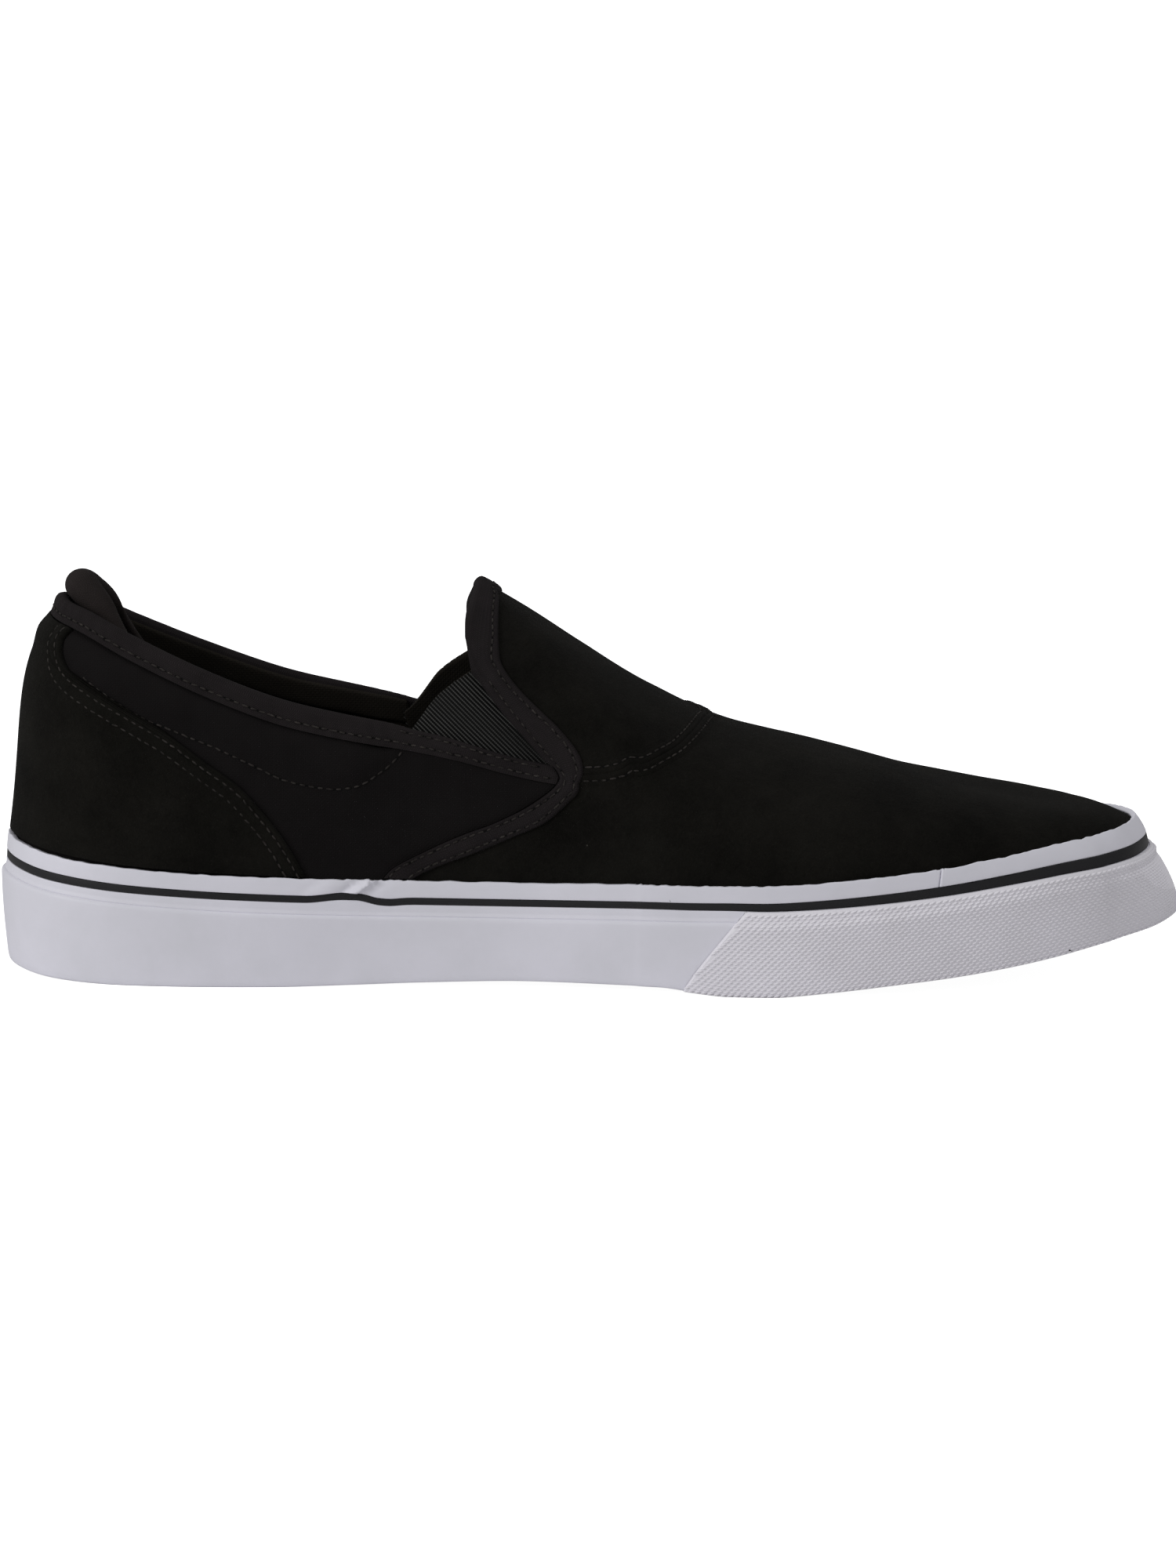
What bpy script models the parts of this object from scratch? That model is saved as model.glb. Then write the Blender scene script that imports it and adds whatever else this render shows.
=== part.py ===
"""Slip-on sneaker, the left shoe of a pair, standing empty on its sole.

Frame: +Z up, +X from heel to toe, +Y to the outer (lateral) side, -Y to the inner (medial) side.
The origin is on the floor, under the middle of the shoe. Units are metres.

The whole shoe hangs on one form, the last. Its outline, foxing line, crest and collar come from two
short tables with a row for each section, from the heel back to the toe tip. A place on the last is
given by u, the section's number counted round the shoe (heel back 0, inner side, toe tip, outer side,
heel back again), and by w, from the foxing's top edge (0) up to the collar or the crest (1).
"""

import math
from collections import namedtuple

import bmesh
import bpy
import numpy as np

# Driving dimensions of the upper
UPPER_LENGTH = 0.2837  # heel back to toe tip, at the foxing's top edge
BALL_WIDTH = 0.0988  # across the ball, at the foxing's top edge
LOW_HANDLE_RUN, HIGH_HANDLE_RUN = 1 / 5, 1 / 3  # shares of a section's run along the shoe in its handles
HEEL_RISE = 0.0560  # upper's wall above the foxing at the heel back
INSTEP_RISE = 0.0725  # instep flap's top above the foxing
UPPER_WALL = 0.0020  # suede or canvas with its lining
COLLAR_PAD = 0.0026  # foam added to the wall at the collar
PAD_START, PAD_FULL = 0.5, 0.85  # w where the foam starts, and where it is full
GAP = 0.0003  # between pieces that meet
CORE_CLEARANCE = 0.0001  # more room between the outsole and the sidewall
OVERLAY_GAP = 0.0006  # between the upper and the pieces laid over it

# Driving dimensions of the sole
FOXING_HEIGHT = 0.0275  # sidewall and foxing tape together, at the ball
HEEL_BEVEL = 0.0020  # lift of the sole's edge at the heel back
ARCH_RISE = 0.0019  # lift of the sole under the waist
TOE_SPRING = 0.0156  # lift of the sole at the toe tip
SIDEWALL = 0.0030  # how far the sidewall stands out from the upper
SIDEWALL_ROUND = 0.0012  # round along the sidewall's step
SOLE_ROUND = 0.0004  # round along the sidewall's foot
TAPE_HEIGHT = 0.0088  # foxing tape, from its top edge to the sidewall's step
TAPE_THICKNESS = 0.0015
TAPE_BEND = 0.0080  # height over which the tape turns from the upper's slope to upright
TAPE_LEAN = 40  # steepest slope, in degrees from upright, that it takes on from the upper
TAPE_KNUCKLE = 0.0026  # depth of a facet's edge within that bend
STRIPE_DROP = 0.0043  # pinstripe's top edge below the tape's top edge
STRIPE_HEIGHT = 0.0016
STRIPE_DEPTH = 0.0008  # depth of the pinstripe's groove in the tape
STRIPE_PROUD = 0.0002
BUMPER_THICKNESS = 0.0010
HEEL_STACK = 0.0172  # outsole's thickness under the heel
BALL_STACK = 0.0112  # outsole's thickness under the ball and toes
TREAD_DEPTH = 0.0015
RIM_WIDTH = 0.0065  # flat rim round the tread
TREAD_GROOVES = 13
GROOVE_CHEVRON = 0.0060  # how far a groove's middle lies ahead of its ends
INSOLE_THICKNESS = 0.0040
INSOLE_CLEARANCE = 0.0005

# Driving dimensions of the trims
BINDING_HEIGHT = 0.0060  # collar binding above the wall's top edge
BINDING_DIP = 0.0010  # how much lower the collar binding is at the heel back
BINDING_PROUD = 0.0006
BINDING_SWELL = 0.0009  # how much prouder the collar binding is at the heel back
BINDING_UPRIGHT = 0.8  # how far it straightens up there, where 0 keeps the wall's slope
FLAP_BINDING_THICKNESS = 0.0010
GORE_THICKNESS = 0.0012
GORE_OVERLAP = 0.0040  # how far the gore runs on behind its neighbours
COUNTER_THICKNESS = 0.0010
GORE_TOP = 0.985  # w at the gore's free edge
HEEL_PAD_RADIUS = 0.0042
HEEL_PAD_REACH = 2.9  # last section that the heel pad reaches on each side
HEEL_PAD_LIFT = 0.0069  # the pad's middle line above the wall's top edge at the heel back
HEEL_PAD_INSET = 0.0063  # the pad's middle line inside the wall's top edge at the heel back
HEEL_PAD_FLARE = 0.75  # growth of that inset towards the pad's ends
HEEL_PAD_FALL = 1.5  # fall of the pad's ends, as a share of its lift
HEEL_PAD_TAPER = 0.75  # how much thinner the ends are: 1 would be a point

# One row for each section of the last, from the heel back to the toe tip.
# base_x and top_x are shares of UPPER_LENGTH from the heel back. medial and lateral (the foxing line),
# centre and half (the collar's or crest's middle and half width) are shares of BALL_WIDTH.
# heel and instep are the shares of HEEL_RISE and INSTEP_RISE that add up to the wall's height.
# lean (at the foxing, inwards) and turn (at the top, outwards) are the wall's slopes in degrees from
# upright. low and high are the lengths of these slopes' handles, as shares of the section's diagonal.
# edge is w at the quarter's top edge, and pad is the share of COLLAR_PAD.
Section = namedtuple(
    "Section", "base_x medial lateral top_x centre half heel instep lean turn low high edge pad"
)
SECTIONS = (
    Section(0.000, 0.000, 0.000, 0.039, 0.000, 0.000, 1.00, 0.00, 8, 33, 0.52, 0.33, 1.00, 0.5),
    Section(0.011, 0.132, 0.132, 0.046, 0.000, 0.096, 1.00, 0.00, 8, 33, 0.52, 0.33, 1.00, 0.5),
    Section(0.041, 0.243, 0.248, 0.069, 0.000, 0.177, 0.99, 0.00, 6, 31, 0.50, 0.32, 1.00, 0.7),
    Section(0.093, 0.314, 0.319, 0.109, 0.000, 0.238, 0.92, 0.00, 2, 22, 0.39, 0.30, 1.00, 0.9),
    Section(0.164, 0.344, 0.349, 0.171, 0.000, 0.288, 0.70, 0.081, 2, 15, 0.36, 0.30, 1.00, 1.0),
    Section(0.234, 0.347, 0.369, 0.238, 0.005, 0.314, 0.50, 0.151, 3, 12, 0.36, 0.30, 1.00, 1.0),
    Section(0.305, 0.339, 0.390, 0.298, 0.010, 0.319, 0.30, 0.257, 3, 12, 0.36, 0.30, 1.00, 0.5),
    Section(0.368, 0.339, 0.415, 0.344, 0.008, 0.306, 0.10, 0.385, 2, 14, 0.36, 0.28, 1.00, 0.0),
    Section(0.455, 0.366, 0.451, 0.381, 0.004, 0.285, 0.00, 0.625, 1, 24, 0.36, 0.26, 0.62, 0.0),
    Section(0.545, 0.425, 0.494, 0.416, 0.000, 0.252, 0.00, 0.721, 0, 34, 0.38, 0.24, 0.44, 0.0),
    Section(0.566, 0.441, 0.500, 0.411, -0.005, 0.212, 0.00, 0.824, 0, 44, 0.38, 0.24, 0.44, 0.0),
    Section(0.585, 0.453, 0.506, 0.413, -0.010, 0.145, 0.00, 0.904, 0, 62, 0.38, 0.25, 0.44, 0.0),
    Section(0.607, 0.465, 0.509, 0.420, -0.015, 0.000, 0.00, 0.981, 0, 90, 0.38, 0.28, 0.44, 0.0),
    Section(0.640, 0.480, 0.510, 0.474, -0.020, 0.000, 0.00, 0.840, 0, 90, 0.38, 0.28, 0.44, 0.0),
    Section(0.679, 0.492, 0.502, 0.545, -0.023, 0.000, 0.00, 0.659, 0, 90, 0.37, 0.29, 0.44, 0.0),
    Section(0.728, 0.493, 0.486, 0.622, -0.028, 0.000, 0.00, 0.495, 2, 90, 0.36, 0.32, 0.44, 0.0),
    Section(0.781, 0.480, 0.455, 0.707, -0.035, 0.000, 0.00, 0.388, 5, 90, 0.34, 0.35, 0.44, 0.0),
    Section(0.834, 0.453, 0.420, 0.788, -0.043, 0.000, 0.00, 0.273, 10, 90, 0.33, 0.37, 0.44, 0.0),
    Section(0.883, 0.415, 0.375, 0.855, -0.050, 0.000, 0.00, 0.178, 18, 90, 0.32, 0.41, 0.44, 0.0),
    Section(0.925, 0.365, 0.315, 0.904, -0.057, 0.000, 0.00, 0.118, 30, 90, 0.32, 0.44, 0.44, 0.0),
    Section(0.961, 0.305, 0.225, 0.932, -0.063, 0.000, 0.00, 0.085, 42, 90, 0.34, 0.44, 0.44, 0.0),
    Section(0.987, 0.225, 0.105, 0.952, -0.068, 0.000, 0.00, 0.059, 54, 90, 0.35, 0.42, 0.44, 0.0),
    Section(1.000, 0.070, -0.070, 0.961, -0.070, 0.000, 0.00, 0.047, 60, 90, 0.35, 0.40, 0.44, 0.0),
)

# The same sections of the sole. bevel, arch and spring are the shares of HEEL_BEVEL, ARCH_RISE and
# TOE_SPRING that lift its edge, and foxing is the share of FOXING_HEIGHT. step and foot are how far the
# sidewall stands out at its top and at the floor, as shares of SIDEWALL.
SoleSection = namedtuple("SoleSection", "bevel arch spring foxing step foot")
SOLE_SECTIONS = (
    SoleSection(1.00, 0.00, 0.000, 1.180, 1.03, 0.50),
    SoleSection(0.70, 0.00, 0.000, 1.165, 1.02, 0.50),
    SoleSection(0.25, 0.00, 0.000, 1.135, 1.00, 0.60),
    SoleSection(0.00, 0.00, 0.000, 1.091, 1.00, 0.80),
    SoleSection(0.00, 0.00, 0.000, 1.040, 1.00, 0.93),
    SoleSection(0.00, 0.00, 0.000, 1.004, 1.00, 0.93),
    SoleSection(0.00, 0.26, 0.000, 0.964, 1.00, 0.93),
    SoleSection(0.00, 0.58, 0.000, 0.931, 1.00, 0.93),
    SoleSection(0.00, 1.00, 0.000, 0.902, 1.00, 0.93),
    SoleSection(0.00, 1.00, 0.000, 0.920, 1.00, 0.93),
    SoleSection(0.00, 0.93, 0.000, 0.929, 1.00, 0.93),
    SoleSection(0.00, 0.85, 0.000, 0.936, 1.00, 0.93),
    SoleSection(0.00, 0.45, 0.000, 0.965, 1.00, 0.93),
    SoleSection(0.00, 0.00, 0.000, 1.003, 1.00, 0.93),
    SoleSection(0.00, 0.00, 0.000, 1.007, 1.00, 0.93),
    SoleSection(0.00, 0.00, 0.083, 0.993, 1.00, 0.95),
    SoleSection(0.00, 0.00, 0.192, 0.982, 1.00, 1.00),
    SoleSection(0.00, 0.00, 0.300, 0.985, 0.95, 1.03),
    SoleSection(0.00, 0.00, 0.436, 0.982, 0.90, 1.07),
    SoleSection(0.00, 0.00, 0.590, 0.960, 0.82, 1.12),
    SoleSection(0.00, 0.00, 0.763, 0.909, 0.74, 1.28),
    SoleSection(0.00, 0.00, 0.917, 0.869, 0.70, 2.02),
    SoleSection(0.00, 0.00, 1.000, 0.844, 0.70, 2.52),
)

# Sections that carry a name, counted from the heel back
GORE_REAR = 7
FLAP_CORNER = 9
FLAP_TOP = 12
TOE_TIP = len(SECTIONS) - 1
RING = 2 * TOE_TIP  # sections all the way round
WELD = 0.00001  # distance at which a tube's caps are welded to it
STACK_HEEL_END = 4
STACK_BALL_START = 13
HEEL_SIDES = (0.5, 3.5)  # where the heel back's own shape of the collar fades out
BUMPER_FOOT = 11.73  # the toe bumper's rear end at the floor
BUMPER_TOP = 13.38  # and at its top edge
BUMPER_SQUARE = 18.0  # from here forward the bumper's facets stand square

# Facets' edges up the bumper, and how far each lies up the slant of its rear ends
BUMPER_ROWS = (("foot", 0.0), ("low", 0.2), ("middle", 0.5), ("high", 0.75), ("step", 0.88), ("edge", 1.0))

TOP_COLUMNS = ("top_x", "top_y", "top_rise")

# Stations of the facets, as the number of steps from one named section to the next
UPPER_STEPS = ((0, 3, 8), (3, 7, 5), (7, 9, 4), (9, 12, 5), (12, 18, 8), (18, 22, 7))
SOLE_STEPS = ((0, 3, 8), (3, 18, 20), (18, 22, 7))
TREAD_START, TREAD_END = 2.2, 19.5
WALL_ROWS, FLAP_ROWS = 7, 5  # facets' edges up the upper's wall, and from there up the flap
TREAD_LANES = (0.27, 0.5, 0.73)  # facets' edges across the tread, as shares of its breadth
RIM_LIMIT = 0.15  # most of the sole's breadth that a rim takes
WALL_EDGES = (0.25, 0.60)  # facets' edges up the sidewall, as shares of its height

# The heel counter's front edge, from the foxing up to the collar
EdgePoint = namedtuple("EdgePoint", "u w")
COUNTER_EDGE = (
    EdgePoint(5.43, 0.012),
    EdgePoint(5.18, 0.219),
    EdgePoint(4.90, 0.378),
    EdgePoint(4.56, 0.517),
    EdgePoint(4.13, 0.607),
    EdgePoint(3.74, 0.675),
    EdgePoint(3.40, 0.706),
    EdgePoint(2.98, 0.730),
    EdgePoint(2.37, 0.755),
    EdgePoint(1.97, 0.785),
    EdgePoint(1.72, 0.835),
    EdgePoint(1.60, 0.890),
    EdgePoint(1.56, 0.940),
    EdgePoint(1.64, 0.985),
)

# The flap binding's rear and front edges, from the foxing up the seam and the gore's front to the crest
BindingPoint = namedtuple("BindingPoint", "rear_u rear_w front_u front_w")
FLAP_BINDING = (
    BindingPoint(6.45, 0.012, 6.90, 0.012),
    BindingPoint(6.62, 0.089, 7.02, 0.050),
    BindingPoint(6.96, 0.177, 7.26, 0.105),
    BindingPoint(7.29, 0.243, 7.53, 0.147),
    BindingPoint(7.60, 0.281, 7.80, 0.186),
    BindingPoint(7.91, 0.305, 8.10, 0.228),
    BindingPoint(8.25, 0.345, 8.42, 0.272),
    BindingPoint(8.60, 0.400, 8.75, 0.338),
    BindingPoint(8.85, 0.440, 9.02, 0.378),
    BindingPoint(9.00, 0.470, 9.45, 0.400),
    BindingPoint(9.08, 0.505, 10.15, 0.410),
    BindingPoint(9.08, 0.550, 10.50, 0.438),
    BindingPoint(9.06, 0.610, 10.68, 0.480),
    BindingPoint(9.04, 0.684, 10.68, 0.560),
    BindingPoint(9.02, 0.762, 10.55, 0.640),
    BindingPoint(9.02, 0.850, 10.42, 0.730),
    BindingPoint(9.02, 0.930, 10.42, 0.795),
    BindingPoint(9.02, 0.998, 10.52, 0.835),
    BindingPoint(9.60, 0.998, 10.80, 0.855),
    BindingPoint(10.30, 0.998, 11.16, 0.872),
    BindingPoint(11.00, 0.998, 11.52, 0.893),
    BindingPoint(11.60, 0.998, 11.90, 0.915),
    BindingPoint(11.85, 0.999, 12.15, 0.955),
    BindingPoint(12.00, 1.000, 12.33, 1.000),
)

# Stations of a gore, along the shoe
GORE_STATIONS = (7.10, 7.40, 7.70, 8.00, 8.35, 8.70, 9.00, 9.35)

# The collar binding's section, as shares of its height and of its width from the outer side
ROLL = ((0.00, 0.00), (0.55, 0.00), (0.88, 0.14), (1.00, 0.50), (0.88, 0.86), (0.55, 1.00), (0.00, 1.00))

COLLECTION = "slip_on_sneaker"

# Colour, roughness and metallic value
SUEDE = ((0.012, 0.012, 0.011, 1.0), 0.95, 0.0)
CANVAS = ((0.016, 0.014, 0.015, 1.0), 0.90, 0.0)
WEBBING = ((0.022, 0.021, 0.021, 1.0), 0.80, 0.0)
LINING = ((0.015, 0.014, 0.014, 1.0), 0.95, 0.0)
WHITE_RUBBER = ((0.60, 0.60, 0.63, 1.0), 0.50, 0.0)
BLACK_RUBBER = ((0.020, 0.021, 0.023, 1.0), 0.45, 0.0)


def round_the_shoe(table, name, scale=1.0):
    """A column of a table, taken from the heel back along one side to the toe and back along the other."""
    rows = [getattr(row, name) * scale for row in table]
    return np.array(rows + rows[-2:0:-1])


def foxing_line():
    """The foxing line's breadth round the shoe: the inner side has negative y, the outer side positive."""
    inner = [-row.medial * BALL_WIDTH for row in SECTIONS]
    outer = [row.lateral * BALL_WIDTH for row in SECTIONS]
    return np.array(inner + outer[-2:0:-1])


def side_signs():
    """-1 on the inner side, +1 on the outer side and 0 at the heel back and toe tip."""
    return np.array([0] + [-1] * (TOE_TIP - 1) + [0] + [1] * (TOE_TIP - 1))


def sole_lift():
    lifts = (("bevel", HEEL_BEVEL), ("arch", ARCH_RISE), ("spring", TOE_SPRING))
    return sum(round_the_shoe(SOLE_SECTIONS, name, size) for name, size in lifts)


COLUMNS = {
    "base_x": round_the_shoe(SECTIONS, "base_x", UPPER_LENGTH),
    "base_y": foxing_line(),
    "sole_z": sole_lift(),
    "base_z": sole_lift() + round_the_shoe(SOLE_SECTIONS, "foxing", FOXING_HEIGHT),
    "top_x": round_the_shoe(SECTIONS, "top_x", UPPER_LENGTH),
    "top_y": round_the_shoe(SECTIONS, "centre", BALL_WIDTH)
    + side_signs() * round_the_shoe(SECTIONS, "half", BALL_WIDTH),
    "top_rise": round_the_shoe(SECTIONS, "heel", HEEL_RISE)
    + round_the_shoe(SECTIONS, "instep", INSTEP_RISE),
    "step": round_the_shoe(SOLE_SECTIONS, "step", SIDEWALL),
    "foot": round_the_shoe(SOLE_SECTIONS, "foot", SIDEWALL),
    "lean": round_the_shoe(SECTIONS, "lean", math.radians(1)),
    "turn": round_the_shoe(SECTIONS, "turn", math.radians(1)),
    "low": round_the_shoe(SECTIONS, "low"),
    "high": round_the_shoe(SECTIONS, "high"),
    "edge": round_the_shoe(SECTIONS, "edge"),
    "pad": round_the_shoe(SECTIONS, "pad", COLLAR_PAD),
}


def along(name, u):
    """A column at u, on a smooth curve through the rows (Catmull-Rom). The top edge turns a corner at the
    gore's front and another at the flap's top, which it reaches square to the crest."""
    values = COLUMNS[name]
    u = np.asarray(u, float)
    whole = np.floor(u).astype(int)
    t = u - whole
    before, first, second, after = (values[(whole + k) % RING] for k in (-1, 0, 1, 2))
    if name in TOP_COLUMNS:
        start, end = row_number(whole), row_number(whole + 1)
        before = np.where(start == FLAP_CORNER, 2 * first - second, before)
        after = np.where(end == FLAP_CORNER, 2 * second - first, after)
        mirrored = 2 * second - first if name == "top_y" else first
        after = np.where((end == FLAP_TOP) & (start < end), mirrored, after)
        after = np.where((end == FLAP_TOP) & (start > end), 2 * second - first, after)
        mirrored = 2 * first - second if name == "top_y" else second
        before = np.where((start == FLAP_TOP) & (start > end), mirrored, before)
        before = np.where((start == FLAP_TOP) & (start < end), 2 * first - second, before)
    slope_in = (second - before) / 2
    slope_out = (after - first) / 2
    rise = second - first
    square = 3 * rise - 2 * slope_in - slope_out
    cube = slope_in + slope_out - 2 * rise
    return first + t * (slope_in + t * (square + t * cube))


def row_number(whole):
    whole = whole % RING
    return np.minimum(whole, RING - whole)


def smoothstep(value, low, high):
    t = np.clip((np.asarray(value, float) - low) / (high - low), 0, 1)
    return t * t * (3 - 2 * t)


def row_of(u):
    """The section's number, counted from the heel back on either side."""
    u = np.asarray(u, float) % RING
    return np.minimum(u, RING - u)


def across(u):
    """The place on the outer side that lies across the shoe from u on the inner side."""
    return RING - np.asarray(u, float)


def stations(steps):
    """u at each facet's edge from the heel back to the toe tip."""
    runs = [np.linspace(a, b, n, endpoint=False) for a, b, n in steps]
    return np.concatenate(runs + [np.array([float(steps[-1][1])])])


def both_sides(half):
    """u all the way round, from a list that runs from the heel back to the toe tip."""
    return np.concatenate([half, across(half[1:-1])[::-1]])


def outline(u):
    """The foxing line in plan, with its unit tangent and outward normal."""
    reach = 0.02
    point = np.stack([along("base_x", u), along("base_y", u)], -1)
    ahead = np.stack([along("base_x", u + reach), along("base_y", u + reach)], -1)
    behind = np.stack([along("base_x", u - reach), along("base_y", u - reach)], -1)
    tangent = ahead - behind
    tangent /= np.linalg.norm(tangent, axis=-1, keepdims=True)
    normal = np.stack([tangent[..., 1], -tangent[..., 0]], -1)
    return point, tangent, normal


def crest_slope(u):
    """The fall of the crest line along the shoe, held constant over the flap's free edge and at the toe."""
    row = np.clip(row_of(u), FLAP_TOP + 0.1, TOE_TIP - 0.5)
    reach = 0.05
    rise = top_z(row + reach) - top_z(row - reach)
    run = along("top_x", row + reach) - along("top_x", row - reach)
    return rise / run


def top_z(u):
    return along("base_z", u) + along("top_rise", u)


def ribs(u):
    """The four control points of each section's curve, from the foxing line to the collar or crest."""
    point, tangent, normal = outline(u)
    base = np.concatenate([point, along("base_z", u)[..., None]], -1)
    top = np.stack([along("top_x", u), along("top_y", u), top_z(u)], -1)
    chord = top - base
    inwards = (chord[..., :2] * normal).sum(-1)
    lengthwise = (chord[..., :2] * tangent).sum(-1)
    diagonal = np.hypot(inwards, chord[..., 2])
    lean, turn = along("lean", u), along("turn", u)
    slope = crest_slope(u) * smoothstep(row_of(u), GORE_REAR, FLAP_CORNER + 1)

    def in_plan(direction, length):
        return direction * length[..., None]

    low = along("low", u) * diagonal
    first = base.copy()
    first[..., :2] += in_plan(normal, -low * np.sin(lean)) + in_plan(tangent, lengthwise * LOW_HANDLE_RUN)
    first[..., 2] += low * np.cos(lean)

    high = along("high", u) * diagonal
    second = top.copy()
    shift = in_plan(normal, high * np.sin(turn)) - in_plan(tangent, lengthwise * HIGH_HANDLE_RUN)
    second[..., :2] += shift
    second[..., 2] += -high * np.cos(turn) + slope * shift[..., 0]
    return base, first, second, top


def form(u, w):
    """A point of the last's outer surface."""
    u, w = np.broadcast_arrays(np.asarray(u, float), np.asarray(w, float))
    p0, p1, p2, p3 = ribs(u)
    v = w[..., None]
    return (1 - v) ** 3 * p0 + 3 * (1 - v) ** 2 * v * p1 + 3 * (1 - v) * v**2 * p2 + v**3 * p3


def one_sided_normal(u, w):
    reach_u, reach_w = 0.03, 0.01
    w = np.clip(w, reach_w, 1 - 2 * reach_w)
    du = form(u + reach_u, w) - form(u - reach_u, w)
    dw = form(u, w + reach_w) - form(u, w - reach_w)
    normal = np.cross(du, dw)
    return normal / np.linalg.norm(normal, axis=-1, keepdims=True)


def form_normal(u, w):
    """The outward normal. On the crest it is the mean of the two sides' normals."""
    u, w = np.broadcast_arrays(np.asarray(u, float), np.asarray(w, float))
    normal = one_sided_normal(u, w)
    on_crest = (w > 0.9999) & (row_of(u) >= FLAP_TOP - 0.001)
    mean = normal + one_sided_normal(across(u), w)
    normal = np.where(on_crest[..., None], mean, normal)
    return normal / np.linalg.norm(normal, axis=-1, keepdims=True)


def shell(u, w, out):
    """A point at the distance out from the last's surface."""
    out = np.asarray(out, float)
    return form(u, w) + form_normal(u, w) * out[..., None]


def skirt(u, drop, out):
    """A point of the upright band below the foxing line: drop below it, and out from the upper's wall."""
    u, drop, out = np.broadcast_arrays(*(np.asarray(v, float) for v in (u, drop, out)))
    point, _, normal = outline(u)
    tan_lean = np.tan(np.minimum(along("lean", u), math.radians(TAPE_LEAN)))
    left = 1 - np.clip(drop / TAPE_BEND, 0, 1)
    bulge = tan_lean * TAPE_BEND / 2 * (1 - left**2)
    slope = np.arctan(tan_lean * left)
    plan = point + normal * (bulge + out * np.cos(slope))[..., None]
    z = along("base_z", u) - drop + out * np.sin(slope)
    return np.concatenate([plan, z[..., None]], -1)


def sole_point(u, z, out):
    """A point of that band at the height z."""
    return skirt(u, along("base_z", u) - z, out)


def sole_z(u):
    return np.maximum(along("sole_z", u), 0)


def stack(u):
    """The outsole's thickness."""
    share = smoothstep(row_of(u), STACK_HEEL_END, STACK_BALL_START)
    return HEEL_STACK + (BALL_STACK - HEEL_STACK) * share


def core_z(u):
    """The outsole's top surface, which carries the upper's edge and the insole."""
    return sole_z(u) + stack(u)


def step_z(u):
    """The sidewall's top edge."""
    return along("base_z", u) - TAPE_HEIGHT


def wall_out(u, share):
    """How far the sidewall stands out, from the floor (0) to its step (1)."""
    foot, step = along("foot", u), along("step", u)
    quarter = share * math.pi / 2
    return foot + (step - foot) * np.where(step > foot, np.sin(quarter), 1 - np.cos(quarter))


def middle_of_the_shoe():
    """The middle of the sole's box, which goes over the origin. The toe bumper is its front."""
    u = both_sides(stations(SOLE_STEPS))
    out = wall_out(u, 1.0)
    bumper = np.where(row_of(u) > BUMPER_FOOT, wall_out(u, 0.0) + GAP + BUMPER_THICKNESS, 0)
    points = sole_point(u, sole_z(u), np.maximum(out, bumper))[:, :2]
    return (points.min(0) + points.max(0)) / 2


def clear_scene():
    for item in list(bpy.data.objects):
        bpy.data.objects.remove(item)


def material(name, finish):
    colour, roughness, metallic = finish
    made = bpy.data.materials.new(name)
    made.use_nodes = True
    shader = made.node_tree.nodes["Principled BSDF"]
    shader.inputs["Base Color"].default_value = colour
    shader.inputs["Roughness"].default_value = roughness
    shader.inputs["Metallic"].default_value = metallic
    return made


def put(name, mesh_data, finish):
    """A mesh from a bmesh, placed so that the shoe's middle is over the origin."""
    bmesh.ops.recalc_face_normals(mesh_data, faces=mesh_data.faces)
    mesh = bpy.data.meshes.new(name)
    mesh_data.to_mesh(mesh)
    mesh_data.free()
    mesh.shade_smooth()
    mesh.set_sharp_from_angle(angle=math.radians(40))
    piece = bpy.data.objects.new(name, mesh)
    mesh.materials.append(material(name, finish))
    bpy.data.collections[COLLECTION].objects.link(piece)
    piece.location = (*-middle_of_the_shoe(), 0)
    return piece


def add_points(bm, points):
    """Vertices for an array of points of any shape, as an array of that shape."""
    shape = points.shape[:-1]
    made = [bm.verts.new(p) for p in points.reshape(-1, 3)]
    grid = np.empty(len(made), object)
    grid[:] = made
    return grid.reshape(shape)


def add_face(bm, *corners):
    """A face, with corners that coincide left out."""
    kept = []
    for corner in corners:
        if corner not in kept:
            kept.append(corner)
    if len(kept) > 2:
        bm.faces.new(kept)


def ring_sweep(bm, grid, closed=True):
    """Faces of a closed profile (second index) swept along a path (first index)."""
    count, size = grid.shape
    last = count if closed else count - 1
    for i in range(last):
        for j in range(size):
            a, b = grid[i], grid[(i + 1) % count]
            k = (j + 1) % size
            add_face(bm, a[j], b[j], b[k], a[k])
    if not closed:
        add_face(bm, *grid[0])
        add_face(bm, *grid[-1][::-1])


def plate(bm, outer, inner, present, joined=False, welded=()):
    """A wall between two grids of vertices, with only the cells that are present, closed along its edges.
    joined says that the first index runs all the way round, and welded holds the first index of the cells
    whose last edge is shared with the other side."""
    rows, columns = outer.shape
    cells = present.shape[0]

    def has(i, j):
        if joined:
            i %= cells
        if j == columns - 1:
            return i in welded
        return 0 <= i < cells and j >= 0 and present[i, j]

    for i in range(cells):
        for j in range(columns - 1):
            if not present[i, j]:
                continue
            n = (i + 1) % rows
            add_face(bm, outer[i, j], outer[n, j], outer[n, j + 1], outer[i, j + 1])
            add_face(bm, inner[i, j + 1], inner[n, j + 1], inner[n, j], inner[i, j])
            if not has(i - 1, j):
                add_face(bm, outer[i, j], outer[i, j + 1], inner[i, j + 1], inner[i, j])
            if not has(i + 1, j):
                add_face(bm, outer[n, j + 1], outer[n, j], inner[n, j], inner[n, j + 1])
            if not has(i, j - 1):
                add_face(bm, outer[n, j], outer[i, j], inner[i, j], inner[n, j])
            if not has(i, j + 1):
                add_face(bm, outer[i, j + 1], outer[n, j + 1], inner[n, j + 1], inner[i, j + 1])


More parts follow.
